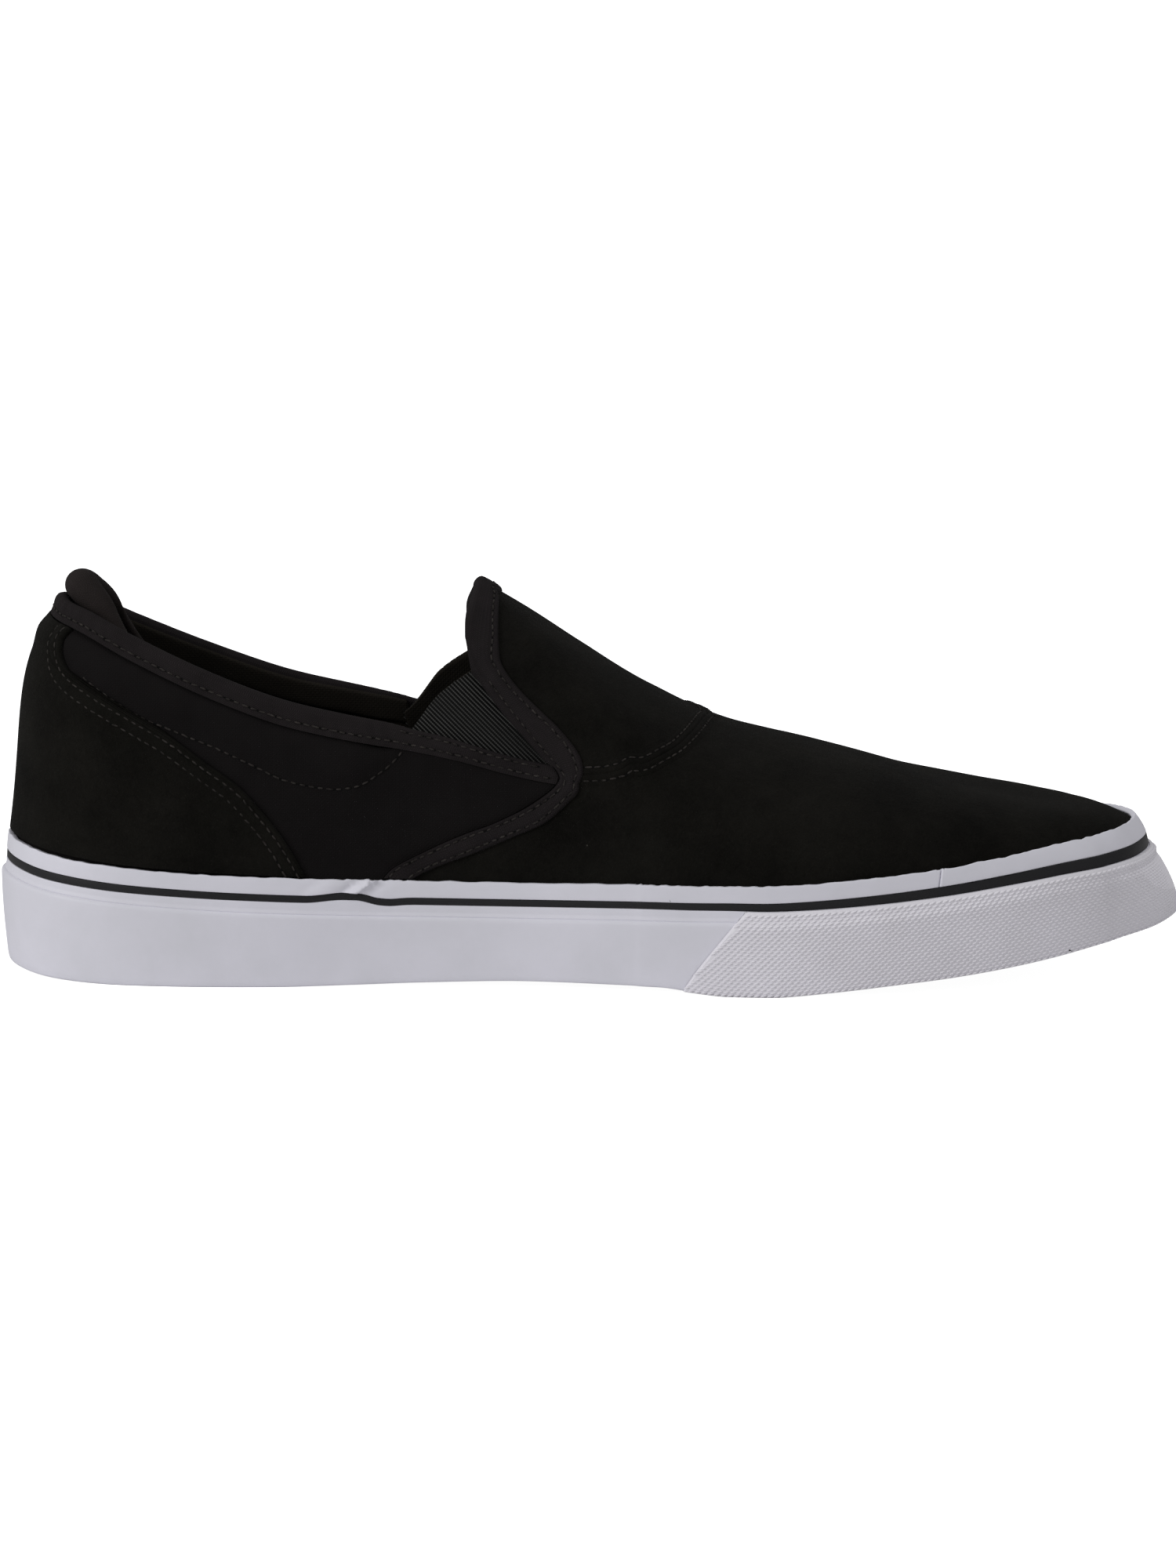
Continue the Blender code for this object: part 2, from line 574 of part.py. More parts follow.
def upper():
    """Vamp, quarters and instep flap: one hollow wall, open at the collar, beside the flap and underneath."""
    bm = bmesh.new()
    half = stations(UPPER_STEPS)
    u = both_sides(half)
    row = row_of(u)
    edge = np.clip(along("edge", u), 0, 1)
    edge = np.where(row <= GORE_REAR, 1.0, edge)
    low_w = edge[:, None] * np.linspace(0, 1, WALL_ROWS)[None]
    flap_w = edge[:, None] + (1 - edge)[:, None] * np.linspace(0, 1, FLAP_ROWS)[None, 1:]
    w = np.concatenate([low_w, flap_w], 1)
    pad = along("pad", u).clip(0)[:, None] * smoothstep(w, PAD_START, PAD_FULL)
    foot = along("base_z", u) - core_z(u) - GAP
    drop = np.stack([foot, TAPE_BEND + 0 * u, TAPE_KNUCKLE + 0 * u], 1)
    columns_u = np.broadcast_to(u[:, None], w.shape)

    def surface(inwards):
        under = skirt(np.broadcast_to(u[:, None], drop.shape), drop, -inwards)
        wall = shell(columns_u, w, -inwards - (pad if inwards else 0))
        return np.concatenate([under, wall], 1)

    outer_points, inner_points = surface(0.0), surface(UPPER_WALL)
    outer, inner = add_points(bm, outer_points), add_points(bm, inner_points)
    crest = np.where(row >= FLAP_TOP - 0.001)[0]
    for i in crest:
        twin = len(u) - i
        if i < twin < len(u):
            for grid in (outer, inner):
                bm.verts.remove(grid[twin, -1])
                grid[twin, -1] = grid[i, -1]
    present = np.ones((len(u), outer.shape[1] - 1), bool)
    first_flap = drop.shape[1] + WALL_ROWS - 1
    middles = row_of(u + (np.roll(u, -1) - u) % RING / 2)
    present[middles < FLAP_CORNER, first_flap:] = False
    plate(bm, outer, inner, present, True, set(np.where(middles > FLAP_TOP)[0]))
    loose = [v for v in bm.verts if not v.link_faces]
    bmesh.ops.delete(bm, geom=loose, context="VERTS")
    return put("upper", bm, SUEDE)


def ladder(bm, ring):
    """Faces across a ring of vertices that runs from the heel back round the toe."""
    count = len(ring)
    for i in range(count // 2):
        add_face(bm, ring[i], ring[i + 1], ring[(count - i - 1) % count], ring[(count - i) % count])


def ring_piece(name, sections, finish):
    """A closed ring round the shoe. sections is a list of arrays, one for each corner of its section."""
    bm = bmesh.new()
    ring_sweep(bm, add_points(bm, np.stack(sections, 1)))
    return put(name, bm, finish)


def outsole():
    """The core that carries the upper and the insole, with chevron grooves inside a flat rim."""
    bm = bmesh.new()
    ends = stations(SOLE_STEPS)
    dense = np.linspace(0, TOE_TIP, 40 * TOE_TIP)
    dense_x = sole_point(dense, 0.0, 0.0 * dense)[:, 0]
    dense_z = sole_z(dense)
    first, last = np.interp((TREAD_START, TREAD_END), dense, dense_x)
    tread = np.interp(np.linspace(first, last, 2 * TREAD_GROOVES), dense_x, dense)
    half = np.concatenate([ends[ends < TREAD_START - 0.2], tread, ends[ends > TREAD_END + 0.2]])
    start = int((ends < TREAD_START - 0.2).sum())
    stop = start + len(tread)
    u = both_sides(half)
    top = add_points(bm, sole_point(u, core_z(u), -CORE_CLEARANCE + 0 * u))

    inner_side = sole_point(half, sole_z(half), -CORE_CLEARANCE + 0 * half)
    outer_side = sole_point(across(half), sole_z(half), -CORE_CLEARANCE + 0 * half)
    width = np.abs(outer_side[:, 1] - inner_side[:, 1])
    rim = np.minimum(RIM_WIDTH / np.maximum(width, RIM_WIDTH), RIM_LIMIT)
    lanes = [lane + 0 * rim for lane in TREAD_LANES]
    share = np.stack([0 * rim, rim, *lanes, 1 - rim, 1 + 0 * rim], 1)
    in_tread = np.zeros(len(half))
    in_tread[start + 1 : stop - 1] = 1
    peak = 1 - np.abs(2 * share - 1)
    points = inner_side[:, None] * (1 - share[..., None]) + outer_side[:, None] * share[..., None]
    points[..., 0] += GROOVE_CHEVRON * (peak - peak[:, 1:2]).clip(0) * in_tread[:, None]
    points[:, 1:-1, 2] = np.interp(points[:, 1:-1, 0], dense_x, dense_z)
    floor = add_points(bm, points)
    roof = add_points(bm, points + np.array([0, 0, TREAD_DEPTH]))
    for end in (0, -1):
        for j in range(1, floor.shape[1]):
            bm.verts.remove(floor[end, j])
            floor[end, j] = floor[end, 0]

    columns = floor.shape[1] - 1
    groove = np.zeros((len(half) - 1, columns), bool)
    groove[start + 1 : stop - 2 : 2, 1:-1] = True
    for i in range(len(half) - 1):
        for j in range(columns):
            level = roof if groove[i, j] else floor
            add_face(bm, level[i, j], level[i, j + 1], level[i + 1, j + 1], level[i + 1, j])
            if not groove[i, j]:
                continue
            sides = (
                (i - 1, j, (i, j), (i, j + 1)),
                (i + 1, j, (i + 1, j + 1), (i + 1, j)),
                (i, j - 1, (i + 1, j), (i, j)),
                (i, j + 1, (i, j + 1), (i + 1, j + 1)),
            )
            for row, column, a, b in sides:
                if not groove[row, column]:
                    add_face(bm, floor[a], floor[b], roof[b], roof[a])
    loose = [v for v in bm.verts if not v.link_faces and v not in set(top)]
    bmesh.ops.delete(bm, geom=loose, context="VERTS")

    rim_ring = np.concatenate([floor[:, 0], floor[1:-1, -1][::-1]])
    for i in range(len(u)):
        n = (i + 1) % len(u)
        add_face(bm, rim_ring[i], rim_ring[n], top[n], top[i])
    ladder(bm, top)
    return put("outsole", bm, BLACK_RUBBER)


def sidewall():
    """The thick white wall round the sole, up to its step."""
    u = both_sides(stations(SOLE_STEPS))
    floor, step = sole_z(u), step_z(u)
    foot, top = wall_out(u, 0.0), wall_out(u, 1.0)
    inner = GAP + 0 * u
    sections = [
        sole_point(u, floor, inner),
        sole_point(u, floor, foot - SOLE_ROUND),
        sole_point(u, floor + SOLE_ROUND, foot),
    ]
    for share in WALL_EDGES:
        sections.append(sole_point(u, floor + share * (step - floor), wall_out(u, share)))
    for down, in_ in ((1.0, 0.0), (0.3, 0.3), (0.0, 1.0)):
        sections.append(sole_point(u, step - down * SIDEWALL_ROUND, top - in_ * SIDEWALL_ROUND))
    sections.append(sole_point(u, step, inner))
    return ring_piece("sidewall", sections, WHITE_RUBBER)


def foxing():
    """The foxing tape above the sidewall, with a groove for the pinstripe."""
    u = both_sides(stations(SOLE_STEPS))
    face = GAP + TAPE_THICKNESS
    groove = face - STRIPE_DEPTH
    groove_top = STRIPE_DROP - GAP
    groove_bottom = STRIPE_DROP + STRIPE_HEIGHT + GAP
    bottom = TAPE_HEIGHT - GAP
    corners = (
        (0, GAP),
        (0, face),
        (TAPE_KNUCKLE, face),
        (groove_top, face),
        (groove_top, groove),
        (groove_bottom, groove),
        (groove_bottom, face),
        (bottom, face),
        (bottom, GAP),
        (TAPE_BEND, GAP),
        (TAPE_KNUCKLE, GAP),
    )
    return ring_piece("foxing", [skirt(u, drop, out) for drop, out in corners], WHITE_RUBBER)


def pinstripe():
    u = both_sides(stations(SOLE_STEPS))
    inner = GAP + TAPE_THICKNESS - STRIPE_DEPTH + GAP
    outer = GAP + TAPE_THICKNESS + STRIPE_PROUD
    bottom = STRIPE_DROP + STRIPE_HEIGHT
    corners = ((STRIPE_DROP, inner), (STRIPE_DROP, outer), (bottom, outer), (bottom, inner))
    return ring_piece("pinstripe", [skirt(u, drop, out) for drop, out in corners], BLACK_RUBBER)


def toe_bumper():
    """The bumper round the toe, over the sidewall and the tape's lower strip, with slanted rear ends."""
    bm = bmesh.new()
    front = stations(SOLE_STEPS)
    front = front[front >= BUMPER_SQUARE]
    steps = np.linspace(0, 1, 10, endpoint=False)
    tape_face = GAP + TAPE_THICKNESS

    def corner(name, share):
        start = BUMPER_FOOT + (BUMPER_TOP - BUMPER_FOOT) * share
        half = np.concatenate([start + (BUMPER_SQUARE - start) * steps, front])
        u = np.concatenate([half, across(half[:-1])[::-1]])
        floor, step, top = sole_z(u), step_z(u), wall_out(u, 1.0)
        edge = along("base_z", u) - STRIPE_DROP - STRIPE_HEIGHT - GAP
        places = {
            "foot": (floor, wall_out(u, 0.0)),
            "low": (floor + WALL_EDGES[0] * (step - floor), wall_out(u, WALL_EDGES[0])),
            "middle": (floor + WALL_EDGES[1] * (step - floor), wall_out(u, WALL_EDGES[1])),
            "high": (step - SIDEWALL_ROUND, top),
            "step": (step + GAP, np.maximum(top - SIDEWALL_ROUND / 2, tape_face)),
            "edge": (edge, tape_face + 0 * u),
        }
        z, out = places[name]
        return u, z, out

    sections = []
    for name, share in BUMPER_ROWS:
        u, z, out = corner(name, share)
        sections.append(sole_point(u, z, out + GAP))
    for name, share in reversed(BUMPER_ROWS):
        u, z, out = corner(name, share)
        sections.append(sole_point(u, z, out + GAP + BUMPER_THICKNESS))
    ring_sweep(bm, add_points(bm, np.stack(sections, 1)), closed=False)
    return put("toe_bumper", bm, WHITE_RUBBER)


def insole():
    bm = bmesh.new()
    u = both_sides(stations(SOLE_STEPS))
    bottom = core_z(u) + INSOLE_CLEARANCE
    edge = -(UPPER_WALL + INSOLE_CLEARANCE) + 0 * u
    bevel = INSOLE_THICKNESS / 4
    rings = (
        add_points(bm, sole_point(u, bottom, edge)),
        add_points(bm, sole_point(u, bottom + INSOLE_THICKNESS - bevel, edge)),
        add_points(bm, sole_point(u, bottom + INSOLE_THICKNESS, edge - bevel)),
    )
    for low, high in zip(rings, rings[1:]):
        for i in range(len(u)):
            n = (i + 1) % len(u)
            add_face(bm, low[i], low[n], high[n], high[i])
    ladder(bm, rings[0])
    ladder(bm, rings[-1])
    return put("insole", bm, LINING)


def heel_share(u):
    """1 at the heel back, falling to 0 at the heel's sides."""
    return 1 - smoothstep(row_of(u), *HEEL_SIDES)


def past_edge(u, height, out):
    """A point above the quarter's top edge, along the wall's own direction but straighter at the heel."""
    w = np.where(row_of(u) <= GORE_REAR, 1.0, np.clip(along("edge", u), 0, 1))
    reach = 0.01
    climb = np.linalg.norm(form(u, w) - form(u, w - reach), axis=-1) / reach
    wanted = w + height / climb
    reached = np.minimum(wanted, 1.0)
    direction = form(u, reached) - form(u, reached - reach)
    direction /= np.linalg.norm(direction, axis=-1, keepdims=True)
    direction[..., 2] += BINDING_UPRIGHT * heel_share(u)
    direction /= np.linalg.norm(direction, axis=-1, keepdims=True)
    return shell(u, reached, out) + direction * ((wanted - reached) * climb)[..., None]


def collar_binding():
    """The rolled strip on the quarters' top edge, from one gore's front round the heel to the other's."""
    bm = bmesh.new()
    half = stations(UPPER_STEPS)
    half = np.append(half[half < FLAP_CORNER - 0.1], FLAP_CORNER - 0.06)
    u = np.concatenate([across(half[1:])[::-1], half]) % RING
    proud = BINDING_PROUD * (1 - smoothstep(row_of(u), GORE_REAR, FLAP_CORNER - 0.6))
    proud = proud + BINDING_SWELL * heel_share(u)
    tall = BINDING_HEIGHT - BINDING_DIP * heel_share(u)
    pad = along("pad", u).clip(0)
    sections = []
    for rise, side in ROLL:
        out = proud - side * (proud + UPPER_WALL + pad)
        sections.append(past_edge(u, GAP + rise * tall, out))
    ring_sweep(bm, add_points(bm, np.stack(sections, 1)), closed=False)
    return put("collar_binding", bm, WEBBING)


def overlay(name, u, w, low, high, finish):
    """A plate over the last's surface between the distances low and high, from a grid of u and w."""
    bm = bmesh.new()
    outer = add_points(bm, shell(u, w, high + 0 * w))
    inner = add_points(bm, shell(u, w, low + 0 * w))
    plate(bm, outer, inner, np.ones((u.shape[0] - 1, u.shape[1] - 1), bool))
    return put(name, bm, finish)


def heel_counter():
    half = stations(UPPER_STEPS)
    share = half[half < COUNTER_EDGE[0].u]
    share = np.append(share / COUNTER_EDGE[0].u, 1.0)
    share = np.concatenate([-share[:0:-1], share])
    u = share[:, None] * np.array([point.u for point in COUNTER_EDGE])[None]
    w = np.broadcast_to(np.array([point.w for point in COUNTER_EDGE])[None], u.shape)
    return overlay("heel_counter", u, w, OVERLAY_GAP, OVERLAY_GAP + COUNTER_THICKNESS, SUEDE)


def flap_binding():
    """The strip along the flap's free edge, down the gores' fronts and along the vamp's seams."""
    share = np.array([0.0, 0.5, 1.0])[None]
    rear_u, rear_w, front_u, front_w = np.array(FLAP_BINDING).T[:, :, None]
    u = rear_u + (front_u - rear_u) * share
    w = rear_w + (front_w - rear_w) * share
    u = np.concatenate([u, across(u[:-1])[::-1]])
    w = np.concatenate([w, w[:-1][::-1]])
    return overlay("flap_binding", u, w, OVERLAY_GAP, OVERLAY_GAP + FLAP_BINDING_THICKNESS, WEBBING)


def gore(name, outer_side):
    """An elastic panel behind the opening between the quarter and the flap."""
    u = np.array(GORE_STATIONS)[:, None]
    climb = np.linalg.norm(form(u, 1.0) - form(u, 0.0), axis=-1)
    bottom = np.clip(along("edge", u), 0, 1) - GORE_OVERLAP / climb
    share = np.linspace(0, 1, 6)[None]
    w = bottom + (GORE_TOP - bottom) * share
    u = np.broadcast_to(u, w.shape)
    if outer_side:
        u = across(u)
    back = UPPER_WALL + GAP
    return overlay(name, u, w, -back - GORE_THICKNESS, -back, WEBBING)


def heel_pad():
    """The soft roll inside the collar at the back of the heel, lower and thinner towards its ends."""
    half = np.linspace(0, HEEL_PAD_REACH, 8)
    u = np.concatenate([across(half[1:])[::-1], half]) % RING
    end = row_of(u) / HEEL_PAD_REACH
    middle = form(u, 1.0)
    middle[:, :2] -= outline(u)[2] * (HEEL_PAD_INSET * (1 + HEEL_PAD_FLARE * end))[:, None]
    middle[:, 2] += HEEL_PAD_LIFT * (1 - HEEL_PAD_FALL * end**2)

    curve = bpy.data.curves.new("heel_pad_path", "CURVE")
    curve.dimensions = "3D"
    curve.bevel_depth = HEEL_PAD_RADIUS
    curve.bevel_resolution = 2
    curve.use_fill_caps = True
    path = curve.splines.new("POLY")
    path.points.add(len(u) - 1)
    for place, point, share in zip(path.points, middle, end):
        place.co = (*point, 1.0)
        place.radius = math.sqrt(1 - HEEL_PAD_TAPER * share**2)
    drawn = bpy.data.objects.new("heel_pad_path", curve)
    bpy.context.scene.collection.objects.link(drawn)
    bpy.context.view_layer.update()
    seen = drawn.evaluated_get(bpy.context.evaluated_depsgraph_get())
    bm = bmesh.new()
    bm.from_mesh(seen.to_mesh())
    bpy.data.objects.remove(drawn)
    bmesh.ops.remove_doubles(bm, verts=bm.verts, dist=WELD)
    return put("heel_pad", bm, WEBBING)


def main():
    clear_scene()
    bpy.context.scene.collection.children.link(bpy.data.collections.new(COLLECTION))
    outsole()
    sidewall()
    foxing()
    pinstripe()
    toe_bumper()
    insole()
    upper()
    heel_counter()
    collar_binding()
    flap_binding()
    gore("gore_medial", False)
    gore("gore_lateral", True)
    heel_pad()


main()
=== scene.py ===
"""Slip-on sneaker, the left shoe of a pair: the finish of every surface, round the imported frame.

Frame: metres, +Z up, +X from heel to toe, -Y to the inner (medial) side, which faces the camera.

Every piece hangs on one form, the last, as the solids do. A place on it is given by u, the section's
number counted round the shoe (heel back 0, inner side, toe tip, outer side, heel back again), and by w,
from the foxing tape's top edge (0) up to the collar or the crest (1).
"""

import math
from collections import namedtuple

import bmesh
import bpy
import numpy as np
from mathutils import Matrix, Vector


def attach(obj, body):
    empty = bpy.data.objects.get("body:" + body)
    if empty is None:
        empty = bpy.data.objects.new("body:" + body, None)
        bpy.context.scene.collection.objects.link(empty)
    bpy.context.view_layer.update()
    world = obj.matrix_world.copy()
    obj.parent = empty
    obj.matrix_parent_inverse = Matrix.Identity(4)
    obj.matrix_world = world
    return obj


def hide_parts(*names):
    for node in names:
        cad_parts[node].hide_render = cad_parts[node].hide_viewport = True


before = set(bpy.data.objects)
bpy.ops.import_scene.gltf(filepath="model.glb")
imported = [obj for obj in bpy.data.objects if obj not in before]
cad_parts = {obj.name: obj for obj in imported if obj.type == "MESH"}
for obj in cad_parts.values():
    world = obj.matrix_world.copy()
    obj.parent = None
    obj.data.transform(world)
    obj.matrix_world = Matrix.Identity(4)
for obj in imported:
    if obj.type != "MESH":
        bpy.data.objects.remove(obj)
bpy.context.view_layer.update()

# Sizes of the upper, the same as the frame's solids have
UPPER_LENGTH = 0.2837  # heel back to toe tip, at the foxing's top edge
BALL_WIDTH = 0.0988  # across the ball, at the foxing's top edge
LOW_HANDLE_RUN, HIGH_HANDLE_RUN = 1 / 5, 1 / 3  # shares of a section's run along the shoe in its handles
HEEL_RISE = 0.0560  # upper's wall above the foxing at the heel back
INSTEP_RISE = 0.0725  # instep flap's top above the foxing
UPPER_WALL = 0.0020  # suede or canvas with its lining
COLLAR_PAD = 0.0026  # foam added to the wall at the collar
PAD_START, PAD_FULL = 0.5, 0.85  # w where the foam starts, and where it is full
GAP = 0.0003  # between pieces that meet
OVERLAY_GAP = 0.0006  # between the upper and the pieces laid over it

# Sizes of the sole
FOXING_HEIGHT = 0.0275  # sidewall and foxing tape together, at the ball
HEEL_BEVEL = 0.0020  # lift of the sole's edge at the heel back
ARCH_RISE = 0.0019  # lift of the sole under the waist
TOE_SPRING = 0.0156  # lift of the sole at the toe tip
SIDEWALL = 0.0030  # how far the sidewall stands out from the upper
TAPE_HEIGHT = 0.0088  # foxing tape, from its top edge to the sidewall's step
TAPE_THICKNESS = 0.0015
TAPE_BEND = 0.0080  # height over which the tape turns from the upper's slope to upright
TAPE_LEAN = 40  # steepest slope, in degrees from upright, that it takes on from the upper
TAPE_KNUCKLE = 0.0026  # depth of a facet's edge within that bend
STRIPE_DROP = 0.0043  # pinstripe's top edge below the tape's top edge
STRIPE_HEIGHT = 0.0016
STRIPE_DEPTH = 0.0008  # depth of the pinstripe's groove in the tape
BUMPER_THICKNESS = 0.0010
HEEL_STACK = 0.0172  # outsole's thickness under the heel
BALL_STACK = 0.0112  # outsole's thickness under the ball and toes
INSOLE_THICKNESS = 0.0040
INSOLE_CLEARANCE = 0.0005

# Sizes of the trims
BINDING_HEIGHT = 0.0060  # collar binding above the wall's top edge
BINDING_DIP = 0.0010  # how much lower the collar binding is at the heel back
BINDING_PROUD = 0.0006
BINDING_SWELL = 0.0009  # how much prouder the collar binding is at the heel back
BINDING_UPRIGHT = 0.8  # how far it straightens up there, where 0 keeps the wall's slope
FLAP_BINDING_THICKNESS = 0.0010
GORE_THICKNESS = 0.0012
GORE_OVERLAP = 0.0040  # how far the gore runs on behind its neighbours
COUNTER_THICKNESS = 0.0010
HEEL_PAD_RADIUS = 0.0042
HEEL_PAD_REACH = 2.9  # last section that the heel pad reaches on each side
HEEL_PAD_LIFT = 0.0069  # the pad's middle line above the wall's top edge at the heel back
HEEL_PAD_INSET = 0.0063  # the pad's middle line inside the wall's top edge at the heel back
HEEL_PAD_FLARE = 0.75  # growth of that inset towards the pad's ends
HEEL_PAD_FALL = 1.5  # fall of the pad's ends, as a share of its lift
HEEL_PAD_TAPER = 0.75  # how much thinner the ends are: 1 would be a point

# One row for each section of the last, from the heel back to the toe tip.
# base_x and top_x are shares of UPPER_LENGTH from the heel back. medial and lateral (the foxing line),
# centre and half (the collar's or crest's middle and half width) are shares of BALL_WIDTH.
# heel and instep are the shares of HEEL_RISE and INSTEP_RISE that add up to the wall's height.
# lean (at the foxing, inwards) and turn (at the top, outwards) are the wall's slopes in degrees from
# upright. low and high are the lengths of these slopes' handles, as shares of the section's diagonal.
# edge is w at the quarter's top edge, and pad is the share of COLLAR_PAD.
Section = namedtuple(
    "Section", "base_x medial lateral top_x centre half heel instep lean turn low high edge pad"
)
SECTIONS = (
    Section(0.000, 0.000, 0.000, 0.039, 0.000, 0.000, 1.00, 0.00, 8, 33, 0.52, 0.33, 1.00, 0.5),
    Section(0.011, 0.132, 0.132, 0.046, 0.000, 0.096, 1.00, 0.00, 8, 33, 0.52, 0.33, 1.00, 0.5),
    Section(0.041, 0.243, 0.248, 0.069, 0.000, 0.177, 0.99, 0.00, 6, 31, 0.50, 0.32, 1.00, 0.7),
    Section(0.093, 0.314, 0.319, 0.109, 0.000, 0.238, 0.92, 0.00, 2, 22, 0.39, 0.30, 1.00, 0.9),
    Section(0.164, 0.344, 0.349, 0.171, 0.000, 0.288, 0.70, 0.081, 2, 15, 0.36, 0.30, 1.00, 1.0),
    Section(0.234, 0.347, 0.369, 0.238, 0.005, 0.314, 0.50, 0.151, 3, 12, 0.36, 0.30, 1.00, 1.0),
    Section(0.305, 0.339, 0.390, 0.298, 0.010, 0.319, 0.30, 0.257, 3, 12, 0.36, 0.30, 1.00, 0.5),
    Section(0.368, 0.339, 0.415, 0.344, 0.008, 0.306, 0.10, 0.385, 2, 14, 0.36, 0.28, 1.00, 0.0),
    Section(0.455, 0.366, 0.451, 0.381, 0.004, 0.285, 0.00, 0.625, 1, 24, 0.36, 0.26, 0.62, 0.0),
    Section(0.545, 0.425, 0.494, 0.416, 0.000, 0.252, 0.00, 0.721, 0, 34, 0.38, 0.24, 0.44, 0.0),
    Section(0.566, 0.441, 0.500, 0.411, -0.005, 0.212, 0.00, 0.824, 0, 44, 0.38, 0.24, 0.44, 0.0),
    Section(0.585, 0.453, 0.506, 0.413, -0.010, 0.145, 0.00, 0.904, 0, 62, 0.38, 0.25, 0.44, 0.0),
    Section(0.607, 0.465, 0.509, 0.420, -0.015, 0.000, 0.00, 0.981, 0, 90, 0.38, 0.28, 0.44, 0.0),
    Section(0.640, 0.480, 0.510, 0.474, -0.020, 0.000, 0.00, 0.840, 0, 90, 0.38, 0.28, 0.44, 0.0),
    Section(0.679, 0.492, 0.502, 0.545, -0.023, 0.000, 0.00, 0.659, 0, 90, 0.37, 0.29, 0.44, 0.0),
    Section(0.728, 0.493, 0.486, 0.622, -0.028, 0.000, 0.00, 0.495, 2, 90, 0.36, 0.32, 0.44, 0.0),
    Section(0.781, 0.480, 0.455, 0.707, -0.035, 0.000, 0.00, 0.388, 5, 90, 0.34, 0.35, 0.44, 0.0),
    Section(0.834, 0.453, 0.420, 0.788, -0.043, 0.000, 0.00, 0.273, 10, 90, 0.33, 0.37, 0.44, 0.0),
    Section(0.883, 0.415, 0.375, 0.855, -0.050, 0.000, 0.00, 0.178, 18, 90, 0.32, 0.41, 0.44, 0.0),
    Section(0.925, 0.365, 0.315, 0.904, -0.057, 0.000, 0.00, 0.118, 30, 90, 0.32, 0.44, 0.44, 0.0),
    Section(0.961, 0.305, 0.225, 0.932, -0.063, 0.000, 0.00, 0.085, 42, 90, 0.34, 0.44, 0.44, 0.0),
    Section(0.987, 0.225, 0.105, 0.952, -0.068, 0.000, 0.00, 0.059, 54, 90, 0.35, 0.42, 0.44, 0.0),
    Section(1.000, 0.070, -0.070, 0.961, -0.070, 0.000, 0.00, 0.047, 60, 90, 0.35, 0.40, 0.44, 0.0),
)

# The same sections of the sole. bevel, arch and spring are the shares of HEEL_BEVEL, ARCH_RISE and
# TOE_SPRING that lift its edge, and foxing is the share of FOXING_HEIGHT. step and foot are how far the
# sidewall stands out at its top and at the floor, as shares of SIDEWALL.
SoleSection = namedtuple("SoleSection", "bevel arch spring foxing step foot")
SOLE_SECTIONS = (
    SoleSection(1.00, 0.00, 0.000, 1.180, 1.03, 0.50),
    SoleSection(0.70, 0.00, 0.000, 1.165, 1.02, 0.50),
    SoleSection(0.25, 0.00, 0.000, 1.135, 1.00, 0.60),
    SoleSection(0.00, 0.00, 0.000, 1.091, 1.00, 0.80),
    SoleSection(0.00, 0.00, 0.000, 1.040, 1.00, 0.93),
    SoleSection(0.00, 0.00, 0.000, 1.004, 1.00, 0.93),
    SoleSection(0.00, 0.26, 0.000, 0.964, 1.00, 0.93),
    SoleSection(0.00, 0.58, 0.000, 0.931, 1.00, 0.93),
    SoleSection(0.00, 1.00, 0.000, 0.902, 1.00, 0.93),
    SoleSection(0.00, 1.00, 0.000, 0.920, 1.00, 0.93),
    SoleSection(0.00, 0.93, 0.000, 0.929, 1.00, 0.93),
    SoleSection(0.00, 0.85, 0.000, 0.936, 1.00, 0.93),
    SoleSection(0.00, 0.45, 0.000, 0.965, 1.00, 0.93),
    SoleSection(0.00, 0.00, 0.000, 1.003, 1.00, 0.93),
    SoleSection(0.00, 0.00, 0.000, 1.007, 1.00, 0.93),
    SoleSection(0.00, 0.00, 0.083, 0.993, 1.00, 0.95),
    SoleSection(0.00, 0.00, 0.192, 0.982, 1.00, 1.00),
    SoleSection(0.00, 0.00, 0.300, 0.985, 0.95, 1.03),
    SoleSection(0.00, 0.00, 0.436, 0.982, 0.90, 1.07),
    SoleSection(0.00, 0.00, 0.590, 0.960, 0.82, 1.12),
    SoleSection(0.00, 0.00, 0.763, 0.909, 0.74, 1.28),
    SoleSection(0.00, 0.00, 0.917, 0.869, 0.70, 2.02),
    SoleSection(0.00, 0.00, 1.000, 0.844, 0.70, 2.52),
)

# Sections that carry a name, counted from the heel back
GORE_REAR = 7
FLAP_CORNER = 9
FLAP_TOP = 12
TOE_TIP = len(SECTIONS) - 1
RING = 2 * TOE_TIP  # sections all the way round
STACK_HEEL_END = 4
STACK_BALL_START = 13
HEEL_SIDES = (0.5, 3.5)  # where the heel back's own shape of the collar fades out
BUMPER_FOOT = 11.73  # the toe bumper's rear end at the floor
BUMPER_TOP = 13.38  # and at its top edge

TOP_COLUMNS = ("top_x", "top_y", "top_rise")
SOLE_STEPS = ((0, 3, 8), (3, 18, 20), (18, 22, 7))  # steps of the sole's facets from one section to the next

# The heel counter's front edge, from the foxing up to the collar
EdgePoint = namedtuple("EdgePoint", "u w")
COUNTER_EDGE = (
    EdgePoint(5.43, 0.012),
    EdgePoint(5.18, 0.219),
    EdgePoint(4.90, 0.378),
    EdgePoint(4.56, 0.517),
    EdgePoint(4.13, 0.607),
    EdgePoint(3.74, 0.675),
    EdgePoint(3.40, 0.706),
    EdgePoint(2.98, 0.730),
    EdgePoint(2.37, 0.755),
    EdgePoint(1.97, 0.785),
    EdgePoint(1.72, 0.835),
    EdgePoint(1.60, 0.890),
    EdgePoint(1.56, 0.940),
    EdgePoint(1.64, 0.985),
)

